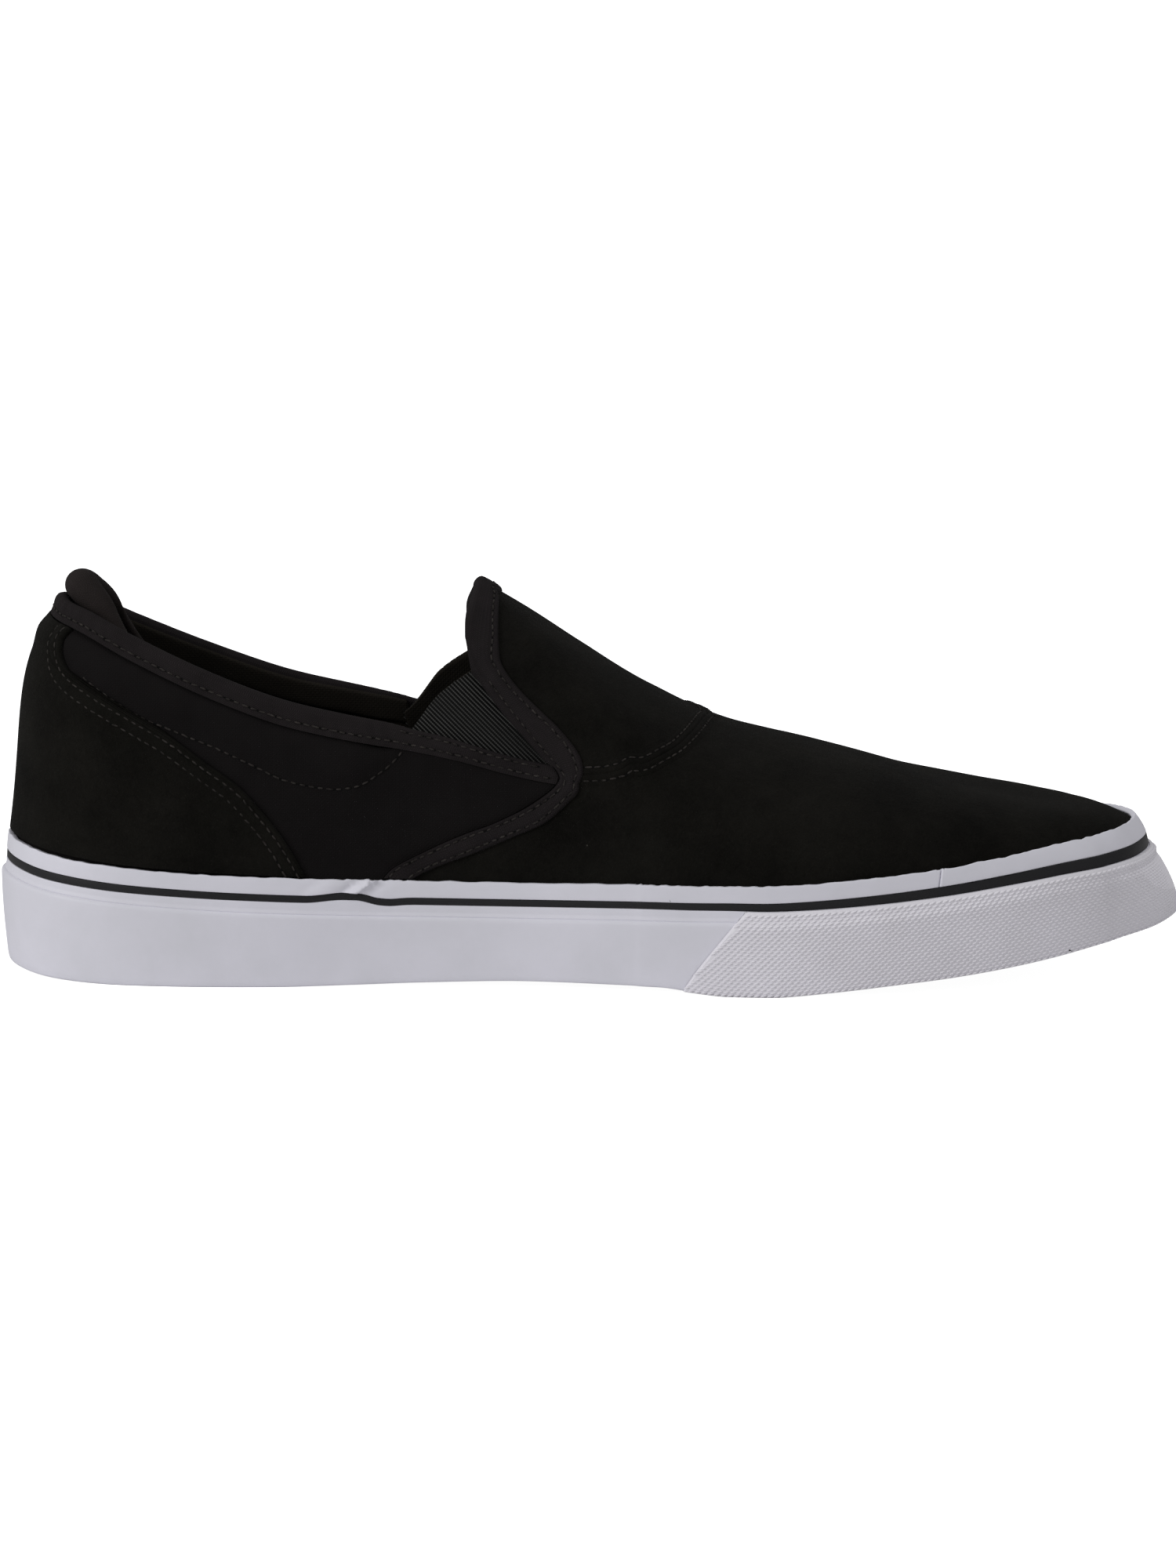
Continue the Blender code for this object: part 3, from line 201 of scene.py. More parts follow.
# The flap binding's rear and front edges, from the foxing up the seam and the gore's front to the crest
BindingPoint = namedtuple("BindingPoint", "rear_u rear_w front_u front_w")
FLAP_BINDING = (
    BindingPoint(6.45, 0.012, 6.90, 0.012),
    BindingPoint(6.62, 0.089, 7.02, 0.050),
    BindingPoint(6.96, 0.177, 7.26, 0.105),
    BindingPoint(7.29, 0.243, 7.53, 0.147),
    BindingPoint(7.60, 0.281, 7.80, 0.186),
    BindingPoint(7.91, 0.305, 8.10, 0.228),
    BindingPoint(8.25, 0.345, 8.42, 0.272),
    BindingPoint(8.60, 0.400, 8.75, 0.338),
    BindingPoint(8.85, 0.440, 9.02, 0.378),
    BindingPoint(9.00, 0.470, 9.45, 0.400),
    BindingPoint(9.08, 0.505, 10.15, 0.410),
    BindingPoint(9.08, 0.550, 10.50, 0.438),
    BindingPoint(9.06, 0.610, 10.68, 0.480),
    BindingPoint(9.04, 0.684, 10.68, 0.560),
    BindingPoint(9.02, 0.762, 10.55, 0.640),
    BindingPoint(9.02, 0.850, 10.42, 0.730),
    BindingPoint(9.02, 0.930, 10.42, 0.795),
    BindingPoint(9.02, 0.998, 10.52, 0.835),
    BindingPoint(9.60, 0.998, 10.80, 0.855),
    BindingPoint(10.30, 0.998, 11.16, 0.872),
    BindingPoint(11.00, 0.998, 11.52, 0.893),
    BindingPoint(11.60, 0.998, 11.90, 0.915),
    BindingPoint(11.85, 0.999, 12.15, 0.955),
    BindingPoint(12.00, 1.000, 12.33, 1.000),
)


def round_the_shoe(table, name, scale=1.0):
    """A column of a table, taken from the heel back along one side to the toe and back along the other."""
    rows = [getattr(row, name) * scale for row in table]
    return np.array(rows + rows[-2:0:-1])


def foxing_line():
    """The foxing line's breadth round the shoe: the inner side has negative y, the outer side positive."""
    inner = [-row.medial * BALL_WIDTH for row in SECTIONS]
    outer = [row.lateral * BALL_WIDTH for row in SECTIONS]
    return np.array(inner + outer[-2:0:-1])


def side_signs():
    """-1 on the inner side, +1 on the outer side and 0 at the heel back and toe tip."""
    return np.array([0] + [-1] * (TOE_TIP - 1) + [0] + [1] * (TOE_TIP - 1))


def sole_lift():
    lifts = (("bevel", HEEL_BEVEL), ("arch", ARCH_RISE), ("spring", TOE_SPRING))
    return sum(round_the_shoe(SOLE_SECTIONS, name, size) for name, size in lifts)


COLUMNS = {
    "base_x": round_the_shoe(SECTIONS, "base_x", UPPER_LENGTH),
    "base_y": foxing_line(),
    "sole_z": sole_lift(),
    "base_z": sole_lift() + round_the_shoe(SOLE_SECTIONS, "foxing", FOXING_HEIGHT),
    "top_x": round_the_shoe(SECTIONS, "top_x", UPPER_LENGTH),
    "top_y": round_the_shoe(SECTIONS, "centre", BALL_WIDTH)
    + side_signs() * round_the_shoe(SECTIONS, "half", BALL_WIDTH),
    "top_rise": round_the_shoe(SECTIONS, "heel", HEEL_RISE)
    + round_the_shoe(SECTIONS, "instep", INSTEP_RISE),
    "step": round_the_shoe(SOLE_SECTIONS, "step", SIDEWALL),
    "foot": round_the_shoe(SOLE_SECTIONS, "foot", SIDEWALL),
    "lean": round_the_shoe(SECTIONS, "lean", math.radians(1)),
    "turn": round_the_shoe(SECTIONS, "turn", math.radians(1)),
    "low": round_the_shoe(SECTIONS, "low"),
    "high": round_the_shoe(SECTIONS, "high"),
    "edge": round_the_shoe(SECTIONS, "edge"),
    "pad": round_the_shoe(SECTIONS, "pad", COLLAR_PAD),
}


def along(name, u):
    """A column at u, on a smooth curve through the rows (Catmull-Rom). The top edge turns a corner at the
    gore's front and another at the flap's top, which it reaches square to the crest."""
    values = COLUMNS[name]
    u = np.asarray(u, float)
    whole = np.floor(u).astype(int)
    t = u - whole
    before, first, second, after = (values[(whole + k) % RING] for k in (-1, 0, 1, 2))
    if name in TOP_COLUMNS:
        start, end = row_number(whole), row_number(whole + 1)
        before = np.where(start == FLAP_CORNER, 2 * first - second, before)
        after = np.where(end == FLAP_CORNER, 2 * second - first, after)
        mirrored = 2 * second - first if name == "top_y" else first
        after = np.where((end == FLAP_TOP) & (start < end), mirrored, after)
        after = np.where((end == FLAP_TOP) & (start > end), 2 * second - first, after)
        mirrored = 2 * first - second if name == "top_y" else second
        before = np.where((start == FLAP_TOP) & (start > end), mirrored, before)
        before = np.where((start == FLAP_TOP) & (start < end), 2 * first - second, before)
    slope_in = (second - before) / 2
    slope_out = (after - first) / 2
    rise = second - first
    square = 3 * rise - 2 * slope_in - slope_out
    cube = slope_in + slope_out - 2 * rise
    return first + t * (slope_in + t * (square + t * cube))


def row_number(whole):
    whole = whole % RING
    return np.minimum(whole, RING - whole)


def smoothstep(value, low, high):
    t = np.clip((np.asarray(value, float) - low) / (high - low), 0, 1)
    return t * t * (3 - 2 * t)


def hill(value, centre, width):
    """1 at the centre, falling away smoothly on both sides."""
    return np.exp(-(((value - centre) / width) ** 2))


def edge_round(away, radius):
    """The height of a rounded edge at a distance from it: 0 at the edge and 1 past the radius."""
    return np.sqrt(np.clip(1 - (1 - np.clip(away / radius, 0, 1)) ** 2, 0, 1))


def row_of(u):
    """The section's number, counted from the heel back on either side."""
    u = np.asarray(u, float) % RING
    return np.minimum(u, RING - u)


def across(u):
    """The place on the outer side that lies across the shoe from u on the inner side."""
    return RING - np.asarray(u, float)


def stations(steps):
    """u at each facet's edge from the heel back to the toe tip."""
    runs = [np.linspace(a, b, n, endpoint=False) for a, b, n in steps]
    return np.concatenate(runs + [np.array([float(steps[-1][1])])])


def round_the_heel(end, count):
    """u from a section on the outer side, round the heel back, to the same section on the inner side."""
    half = np.linspace(0, end, count)
    return np.concatenate([across(half[1:])[::-1], half]) % RING


def both_sides(half):
    """u all the way round, from a list that runs from the heel back to the toe tip."""
    return np.concatenate([half, across(half[1:-1])[::-1]])


def unit(vectors):
    return vectors / np.linalg.norm(vectors, axis=-1, keepdims=True)


def outline(u):
    """The foxing line in plan, with its unit tangent and outward normal."""
    reach = 0.02
    point = np.stack([along("base_x", u), along("base_y", u)], -1)
    ahead = np.stack([along("base_x", u + reach), along("base_y", u + reach)], -1)
    behind = np.stack([along("base_x", u - reach), along("base_y", u - reach)], -1)
    tangent = unit(ahead - behind)
    normal = np.stack([tangent[..., 1], -tangent[..., 0]], -1)
    return point, tangent, normal


def crest_slope(u):
    """The fall of the crest line along the shoe, held constant over the flap's free edge and at the toe."""
    row = np.clip(row_of(u), FLAP_TOP + 0.1, TOE_TIP - 0.5)
    reach = 0.05
    rise = top_z(row + reach) - top_z(row - reach)
    run = along("top_x", row + reach) - along("top_x", row - reach)
    return rise / run


def top_z(u):
    return along("base_z", u) + along("top_rise", u)


def ribs(u):
    """The four control points of each section's curve, from the foxing line to the collar or crest."""
    point, tangent, normal = outline(u)
    base = np.concatenate([point, along("base_z", u)[..., None]], -1)
    top = np.stack([along("top_x", u), along("top_y", u), top_z(u)], -1)
    chord = top - base
    inwards = (chord[..., :2] * normal).sum(-1)
    lengthwise = (chord[..., :2] * tangent).sum(-1)
    diagonal = np.hypot(inwards, chord[..., 2])
    lean, turn = along("lean", u), along("turn", u)
    slope = crest_slope(u) * smoothstep(row_of(u), GORE_REAR, FLAP_CORNER + 1)

    def in_plan(direction, length):
        return direction * length[..., None]

    low = along("low", u) * diagonal
    first = base.copy()
    first[..., :2] += in_plan(normal, -low * np.sin(lean)) + in_plan(tangent, lengthwise * LOW_HANDLE_RUN)
    first[..., 2] += low * np.cos(lean)

    high = along("high", u) * diagonal
    second = top.copy()
    shift = in_plan(normal, high * np.sin(turn)) - in_plan(tangent, lengthwise * HIGH_HANDLE_RUN)
    second[..., :2] += shift
    second[..., 2] += -high * np.cos(turn) + slope * shift[..., 0]
    return base, first, second, top


def form(u, w):
    """A point of the last's outer surface."""
    u, w = np.broadcast_arrays(np.asarray(u, float), np.asarray(w, float))
    p0, p1, p2, p3 = ribs(u)
    v = w[..., None]
    return (1 - v) ** 3 * p0 + 3 * (1 - v) ** 2 * v * p1 + 3 * (1 - v) * v**2 * p2 + v**3 * p3


def one_sided_normal(u, w):
    reach_u, reach_w = 0.03, 0.01
    w = np.clip(w, reach_w, 1 - 2 * reach_w)
    du = form(u + reach_u, w) - form(u - reach_u, w)
    dw = form(u, w + reach_w) - form(u, w - reach_w)
    return unit(np.cross(du, dw))


def form_normal(u, w):
    """The outward normal. On the crest it is the mean of the two sides' normals."""
    u, w = np.broadcast_arrays(np.asarray(u, float), np.asarray(w, float))
    normal = one_sided_normal(u, w)
    on_crest = (w > 0.9999) & (row_of(u) >= FLAP_TOP - 0.001)
    mean = normal + one_sided_normal(across(u), w)
    return unit(np.where(on_crest[..., None], mean, normal))


def shell(u, w, out):
    """A point at the distance out from the last's surface."""
    out = np.asarray(out, float)
    return form(u, w) + form_normal(u, w) * out[..., None]


def skirt(u, drop, out):
    """A point of the upright band below the foxing line: drop below it, and out from the upper's wall."""
    u, drop, out = np.broadcast_arrays(*(np.asarray(v, float) for v in (u, drop, out)))
    point, _, normal = outline(u)
    tan_lean = np.tan(np.minimum(along("lean", u), math.radians(TAPE_LEAN)))
    left = 1 - np.clip(drop / TAPE_BEND, 0, 1)
    bulge = tan_lean * TAPE_BEND / 2 * (1 - left**2)
    slope = np.arctan(tan_lean * left)
    plan = point + normal * (bulge + out * np.cos(slope))[..., None]
    z = along("base_z", u) - drop + out * np.sin(slope)
    return np.concatenate([plan, z[..., None]], -1)


def sole_point(u, z, out):
    """A point of that band at the height z."""
    return skirt(u, along("base_z", u) - z, out)


def sole_z(u):
    return np.maximum(along("sole_z", u), 0)


def stack(u):
    """The outsole's thickness."""
    share = smoothstep(row_of(u), STACK_HEEL_END, STACK_BALL_START)
    return HEEL_STACK + (BALL_STACK - HEEL_STACK) * share


def core_z(u):
    """The outsole's top surface, which carries the upper's edge and the insole."""
    return sole_z(u) + stack(u)


def step_z(u):
    """The sidewall's top edge."""
    return along("base_z", u) - TAPE_HEIGHT


def wall_out(u, share):
    """How far the sidewall stands out, from the floor (0) to its step (1)."""
    foot, step = along("foot", u), along("step", u)
    quarter = share * math.pi / 2
    return foot + (step - foot) * np.where(step > foot, np.sin(quarter), 1 - np.cos(quarter))


def middle_of_the_shoe():
    """The middle of the sole's box, which goes over the origin. The toe bumper is its front."""
    u = both_sides(stations(SOLE_STEPS))
    out = wall_out(u, 1.0)
    bumper = np.where(row_of(u) > BUMPER_FOOT, wall_out(u, 0.0) + GAP + BUMPER_THICKNESS, 0)
    points = sole_point(u, sole_z(u), np.maximum(out, bumper))[:, :2]
    return (points.min(0) + points.max(0)) / 2


# Sizes of the finish
FINE = 8  # facets of the upper from one section to the next
RING_FINE = 16  # facets of the sole's rings from one section to the next
LOW_ROWS = 26  # facets' edges up the wall, below the gore
FLAP_ROWS = 27  # and from there up the instep flap
SKIN = 0.0011  # suede or canvas alone
LINING = 0.0007
HAIR = 0.0001  # between a piece and what it is laid on
COUNTER_ROUND = 0.0010  # round along the counter's edge
BINDING_ROUND = 0.0009  # round along the flap binding's edges
INSOLE_ROUND = 0.0015
BUMPER_END = 1 / 290  # round at the toe bumper's ends, as a share of its length
COLLAR_BULGE = 0.0008  # how far the foam in the collar swells the quarter
BINDING_LAP = 0.0008  # how far the collar binding runs down over the quarter
FOLD_THICKNESS = 0.0009  # folded webbing of the flap binding
STITCH_PITCH = 0.0023
STITCH_LENGTH = 0.0016
STITCH_WIDTH = 0.00046
HOLE_RADIUS = 0.00030
STITCH_DENT = 0.00022  # depth of the groove that a row of stitches pulls in
DENT_WIDTH = 0.0005
STITCH_WANDER = 0.00005  # how far a stitch turns out of its row at random
SEAM_STEP = 0.0005  # between the places of a seam's path
SEAM_HALF = 0.0017  # each of a double seam's rows from the seam
COUNTER_ROWS = (0.0016, 0.0043)  # rows of stitches from the counter's edge
COLLAR_ROWS = (0.0010, 0.0044)  # from the quarter's edge up the collar binding
FLAP_ROWS_AWAY = (0.0014, 0.0016)  # from the flap binding's front edge, and from its rear edge
GORE_EDGE = ((7.1, 7.3, 8.0, 9.35), (1.030, 1.034, 1.028, 1.010))  # w at the gore's free edge
RIB_PITCH = 0.00085
RIB_HEIGHT = 0.00022
RIB_ANGLE = math.radians(43)  # fall of the gore's ribs towards the toe
GRAIN_LENGTH = 0.00166  # pitch of the toe bumper's grain along the shoe
GRAIN_ROWS = 26  # rows of it up the bumper
GRAIN_RISE = 0.00042
GRAIN_TOP = 0.20  # a lozenge's top, as a share of its foot
GRAIN_HALF = (0.33, 0.45)  # a lozenge's half length and half height, as shares of its pitch and row
GRAIN_SLANT = 0.23  # how far it leans forward, as a share of the pitch
LINT_SPACING, LINT_SIZE = 0.016, 0.00035  # pale lint on the cloth and suede
DIRT_SPACING, DIRT_SIZE = 0.011, 0.0006  # dark specks on the rubber
JOINT_X = 0.0877  # the tape's butt joint on the inner side
BUCKLE_X = -0.0586  # highest place of the pinstripe's wave over the tape's buckle
FOLD_X = -0.0536  # the tape's sharp fold there, at its top edge
FOLD_SLANT = 1.37  # how much further back the fold lies for each metre down
FOLD_RUN = 0.0034  # length of its rise
FOLD_RISE = 0.0010
FOLD_DIP = 0.00035  # depth of the hollows beside it
BUCKLE_SWELL = 0.0005  # how far the tape stands off over the buckle
WAVE_LIFT = 0.0009  # how far the pinstripe rises there
WAVE_DIP = 0.0004  # and how far it dips in front of it
JOINT_STEP = 0.00022  # how far one end of the tape stands over the other
JOINT_GAP = 0.0006  # depth of the gap between them
TAPE_RAGGED = 0.00014  # unevenness of the tape's top edge

# The seams' paths on the last
SeamPoint = namedtuple("SeamPoint", "u w")
COLLAR_PADDING = (
    SeamPoint(2.20, 0.790),
    SeamPoint(2.75, 0.755),
    SeamPoint(3.28, 0.725),
    SeamPoint(3.73, 0.720),
    SeamPoint(4.25, 0.705),
    SeamPoint(4.73, 0.665),
    SeamPoint(5.15, 0.615),
    SeamPoint(5.70, 0.600),
    SeamPoint(6.00, 0.620),
    SeamPoint(6.25, 0.665),
    SeamPoint(6.58, 0.775),
    SeamPoint(6.88, 0.870),
    SeamPoint(7.10, 0.930),
    SeamPoint(7.25, 0.985),
)
INSTEP_SEAM = (
    SeamPoint(9.40, 0.445),
    SeamPoint(10.14, 0.416),
    SeamPoint(11.16, 0.363),
    SeamPoint(11.74, 0.336),
    SeamPoint(12.34, 0.347),
    SeamPoint(12.90, 0.398),
    SeamPoint(13.41, 0.470),
    SeamPoint(13.80, 0.548),
    SeamPoint(14.15, 0.640),
    SeamPoint(14.50, 0.761),
    SeamPoint(14.82, 0.903),
    SeamPoint(15.00, 1.000),
)

# The quarter's top edge where it turns down under the gore, eased to one smooth line
EASED_EDGE = (
    SeamPoint(6.00, 1.000),
    SeamPoint(6.15, 1.004),
    SeamPoint(6.30, 1.014),
    SeamPoint(6.45, 1.025),
    SeamPoint(6.60, 1.032),
    SeamPoint(6.75, 1.031),
    SeamPoint(6.90, 1.016),
    SeamPoint(7.05, 0.981),
    SeamPoint(7.20, 0.926),
    SeamPoint(7.35, 0.860),
    SeamPoint(7.50, 0.794),
    SeamPoint(7.65, 0.732),
    SeamPoint(7.80, 0.678),
    SeamPoint(7.95, 0.632),
    SeamPoint(8.10, 0.593),
)

# Soft troughs in the upper, from one place on the last to another
Crease = namedtuple("Crease", "u_start w_start u_end w_end width depth")
CREASES = (
    Crease(5.60, 0.05, 6.75, 0.40, 0.0065, 0.0005),
    Crease(6.30, 0.00, 6.55, 0.16, 0.0035, 0.0005),
    Crease(4.60, 0.62, 6.60, 0.72, 0.0040, 0.0004),
    Crease(14.40, 0.10, 15.60, 0.80, 0.0080, 0.0004),
    Crease(16.10, 0.15, 17.00, 0.85, 0.0075, 0.0003),
    Crease(29.60, 0.12, 28.20, 0.82, 0.0080, 0.0004),
    Crease(27.80, 0.15, 26.90, 0.85, 0.0075, 0.0003),
    Crease(38.40, 0.05, 37.20, 0.45, 0.0060, 0.0004),
    Crease(0.00, 0.93, 1.40, 0.93, 0.0018, 0.0005),
    Crease(44.00, 0.93, 42.60, 0.93, 0.0018, 0.0005),
)

MIDDLE = np.array([*middle_of_the_shoe(), 0.0])


def through(rows, t):
    """Values at the fractional row t of a table, on a smooth curve through its rows."""
    rows = np.array(rows, float)
    t = np.asarray(t, float)
    first = np.clip(np.floor(t).astype(int), 0, len(rows) - 2)
    s = (t - first)[:, None]
    wide = np.concatenate([2 * rows[:1] - rows[1:2], rows, 2 * rows[-1:] - rows[-2:-1]])
    a, b, c, d = (wide[first + k] for k in range(4))
    return b + s / 2 * (c - a + s * (2 * a - 5 * b + 4 * c - d + s * (3 * (b - c) + d - a)))


def trough(points, crease):
    """The depth of a crease at each point: deepest on its line, and fading at its ends."""
    share = np.linspace(0, 1, 24)
    line = form(
        crease.u_start + (crease.u_end - crease.u_start) * share,
        crease.w_start + (crease.w_end - crease.w_start) * share,
    )
    away = np.linalg.norm(points[..., None, :] - line, axis=-1)
    nearest = away.argmin(-1)
    fade = np.sin(math.pi * share[nearest]) ** 0.5
    return crease.depth * fade * hill(away.min(-1), 0, crease.width)


def relief(u, w):
    """How far the worn-in upper stands off the last: the padded collar's swelling and the soft creases."""
    row = row_of(u)
    seam = np.array(COLLAR_PADDING)
    line = np.interp(row, seam[:, 0], seam[:, 1])
    swelling = smoothstep(w, line, line + 0.12) * (1 - smoothstep(w, 0.9, 1.0))
    swelling = swelling * (1 - smoothstep(row, seam[-3, 0], seam[-1, 0]))
    points = form(u, w)
    return COLLAR_BULGE * swelling - sum(trough(points, crease) for crease in CREASES)


def skin(u, w, out):
    """A point at the distance out from the upper's worn-in surface."""
    u, w = np.broadcast_arrays(np.asarray(u, float), np.asarray(w, float))
    return shell(u, w, out + relief(u, w))


def beside(u, w, distance):
    """The path that runs at a distance beside a path on the last, to its left as seen from outside."""
    points = form(u, w)
    side = np.cross(form_normal(u, w), unit(np.gradient(points, axis=0)))
    reach = 0.01
    du = (form(u + reach, w) - form(u - reach, w)) / (2 * reach)
    dw = (form(u, w + reach) - form(u, w - reach)) / (2 * reach)
    uu, uw, ww = (du * du).sum(-1), (du * dw).sum(-1), (dw * dw).sum(-1)
    su, sw = (side * du).sum(-1) * distance, (side * dw).sum(-1) * distance
    area = uu * ww - uw * uw
    return u + (su * ww - sw * uw) / area, w + (sw * uu - su * uw) / area


def run_along(points):
    """The distance along a line of points, from its first to each of them."""
    return np.concatenate([[0], np.cumsum(np.linalg.norm(np.diff(points, axis=0), axis=-1))])


def seam_path(places):
    """A seam of the inner side as dense arrays u and w, with its places a step apart."""
    u, w = through(places, np.linspace(0, len(places) - 1, 400)).T
    run = run_along(form(u, w))
    wanted = np.linspace(0, run[-1], max(2, round(run[-1] / SEAM_STEP) + 1))
    return np.interp(wanted, run, u), np.interp(wanted, run, w)


def quads(rows, columns, looped=False, closed=False):
    """Corners (row, column) of a grid's quads. looped joins its last row to its first, closed its columns."""
    i = np.arange(rows if looped else rows - 1)[:, None]
    j = np.arange(columns if closed else columns - 1)[None]
    corners = ((i, j), (i + 1, j), (i + 1, j + 1), (i, j + 1))
    return np.stack([np.stack(np.broadcast_arrays(a, b), -1) for a, b in corners], -2).reshape(-1, 4, 2)


def grid_mesh(name, points, along_=None, across_=None, looped=False, closed=False, keep=None, ends=False):
    """A mesh from a grid of points. along_ and across_ place its cloth map, in metres."""
    rows, columns = points.shape[:2]
    cells = quads(rows, columns, looped, closed)
    if keep is not None:
        cells = cells[keep.ravel()]
    faces = (cells[..., 0] % rows * columns + cells[..., 1] % columns).tolist()
    if ends:
        faces.append(list(range(columns))[::-1])
        faces.append(list(range((rows - 1) * columns, rows * columns)))
    mesh = bpy.data.meshes.new(name)
    mesh.from_pydata((points - MIDDLE).reshape(-1, 3).tolist(), [], faces)
    if along_ is not None:
        uv = np.stack([along_[cells[..., 0]], across_[cells[..., 1]]], -1).reshape(-1, 2)
        spare = len(mesh.loops) - len(uv)
        uv = np.concatenate([uv, np.zeros((spare, 2))])
        layer = mesh.uv_layers.new(name="cloth")
        layer.data.foreach_set("uv", uv.astype(np.float32).ravel())
    return mesh


def clean(mesh, weld=False, solid=False):
    """Welds coincident points, drops loose ones, and turns a solid's faces outwards."""
    bm = bmesh.new()
    bm.from_mesh(mesh)
    if weld:
        bmesh.ops.remove_doubles(bm, verts=bm.verts, dist=0.00001)
        bmesh.ops.dissolve_degenerate(bm, edges=bm.edges, dist=0.000001)
    bmesh.ops.delete(bm, geom=[v for v in bm.verts if not v.link_faces], context="VERTS")
    if solid:
        bmesh.ops.recalc_face_normals(bm, faces=bm.faces)
    bm.to_mesh(mesh)
    bm.free()


def put(name, mesh, finish, nodes, thickness=0.0, sharp=60):
    """A piece of the shoe, which stands for the CAD nodes that it replaces."""
    mesh.shade_smooth()
    mesh.set_sharp_from_angle(angle=math.radians(sharp))
    mesh.materials.append(finish)
    piece = bpy.data.objects.new(name, mesh)
    bpy.context.scene.collection.objects.link(piece)
    if thickness:
        wall = piece.modifiers.new("thickness", "SOLIDIFY")
        wall.thickness = thickness
        wall.offset = -1
    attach(piece, "root")
    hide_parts(*nodes)
    return piece


# Finishes: effects that several materials share


def feed(tree, socket, value):
    """Puts a value or a link on an input."""
    if isinstance(value, bpy.types.NodeSocket):
        tree.links.new(value, socket)
    else:
        socket.default_value = value


def wire(tree, kind, values=(), **settings):
    """A node with its settings, and with values or links on its inputs."""
    node = tree.nodes.new(kind)
    for name, value in settings.items():
        setattr(node, name, value)
    for name, value in dict(values).items():
        feed(tree, node.inputs[name], value)
    return node


def calc(tree, operation, a, b=0.0, c=0.0):
    node = wire(tree, "ShaderNodeMath", {0: a, 1: b, 2: c}, operation=operation)
    return node.outputs[0]


def effect(name, inputs, outputs):
    """An empty node group, with its inputs and the inputs of its group output."""
    made = bpy.data.node_groups.new(name, "ShaderNodeTree")
    for title, value in inputs.items():
        kind = "NodeSocketVector" if isinstance(value, tuple) else "NodeSocketFloat"
        made.interface.new_socket(title, in_out="INPUT", socket_type=kind).default_value = value
    for title in outputs:
        made.interface.new_socket(title, in_out="OUTPUT", socket_type="NodeSocketFloat")
    return made, made.nodes.new("NodeGroupInput").outputs, made.nodes.new("NodeGroupOutput").inputs


def nap_effect():
    """Brushed fibres, and the broad mottle of a hide that was stroked both ways."""
    group, given, out = effect("nap", {"Place": (0.0, 0.0, 0.0), "Fibres": 1800.0}, ("Height", "Mottle"))
    links = group.links
    fine = wire(group, "ShaderNodeTexNoise", {"Vector": given["Place"], "Scale": given["Fibres"],
                                              "Detail": 5.0, "Roughness": 0.7})
    tufts = wire(group, "ShaderNodeTexNoise", {"Vector": given["Place"],
                                               "Scale": calc(group, "MULTIPLY", given["Fibres"], 0.3),
                                               "Detail": 3.0, "Roughness": 0.6, "Distortion": 0.8})
    height = calc(group, "MULTIPLY_ADD", tufts.outputs[0], 0.8, fine.outputs[0])
    mottle = wire(group, "ShaderNodeTexNoise", {"Vector": given["Place"],
                                                "Scale": calc(group, "MULTIPLY", given["Fibres"], 0.03),
                                                "Detail": 3.0, "Roughness": 0.55})
    links.new(height, out["Height"])
    links.new(mottle.outputs[0], out["Mottle"])
    return group


def weave_effect():
    """Plain weave, counted in threads along and across the cloth."""
    group, given, out = effect("weave", {"Along": 0.0, "Across": 0.0}, ("Height",))
    warp = calc(group, "SINE", calc(group, "MULTIPLY", given["Along"], math.pi))
    weft = calc(group, "SINE", calc(group, "MULTIPLY", given["Across"], math.pi))
    over = calc(group, "MULTIPLY", warp, weft)
    thread = calc(group, "MULTIPLY", calc(group, "ABSOLUTE", warp), calc(group, "ABSOLUTE", weft))
    height = calc(group, "MULTIPLY_ADD", over, 0.5, calc(group, "POWER", thread, 0.5))
    group.links.new(height, out["Height"])
    return group


def specks_effect():
    """Small flecks of dirt or lint, far apart, each with its own size."""
    inputs = {"Place": (0.0, 0.0, 0.0), "Spacing": 0.012, "Size": 0.0004}
    group, given, out = effect("specks", inputs, ("Mask",))
    scale = calc(group, "DIVIDE", 1.0, given["Spacing"])
    wander = wire(group, "ShaderNodeTexNoise", {"Vector": given["Place"], "Scale": 2500.0, "Detail": 1.0})
    jitter = wire(group, "ShaderNodeVectorMath", {0: wander.outputs["Color"], 1: (0.5, 0.5, 0.5)},
                  operation="SUBTRACT")
    small = wire(group, "ShaderNodeVectorMath", {0: jitter.outputs[0], "Scale": 0.0006}, operation="SCALE")
    moved = wire(group, "ShaderNodeVectorMath", {0: given["Place"], 1: small.outputs[0]}, operation="ADD")
    cells = wire(group, "ShaderNodeTexVoronoi", {"Vector": moved.outputs[0], "Scale": scale})
    chance = wire(group, "ShaderNodeSeparateColor", {0: cells.outputs["Color"]})
    own = calc(group, "MULTIPLY", calc(group, "POWER", chance.outputs[0], 2.0), given["Size"])
    limit = calc(group, "MULTIPLY", own, scale)
    group.links.new(calc(group, "LESS_THAN", cells.outputs["Distance"], limit), out["Mask"])
    return group


EFFECTS = {"nap": nap_effect(), "weave": weave_effect(), "specks": specks_effect()}


def use(tree, name, values=()):
    """An effect placed in a material. Its node's outputs carry the effect's masks and heights."""
    return wire(tree, "ShaderNodeGroup", values, node_tree=EFFECTS[name]).outputs


# Finishes: the materials


def start(name, **sockets):
    """A material's node tree and its Principled shader, with constant numbers set on the shader."""
    made = bpy.data.materials.new(name)
    made.use_nodes = True
    shader = made.node_tree.nodes["Principled BSDF"]
    for title, value in sockets.items():
        shader.inputs[title.replace("_", " ")].default_value = value
    return made, made.node_tree, shader


def place_on_object(tree):
    return wire(tree, "ShaderNodeTexCoord").outputs["Object"]


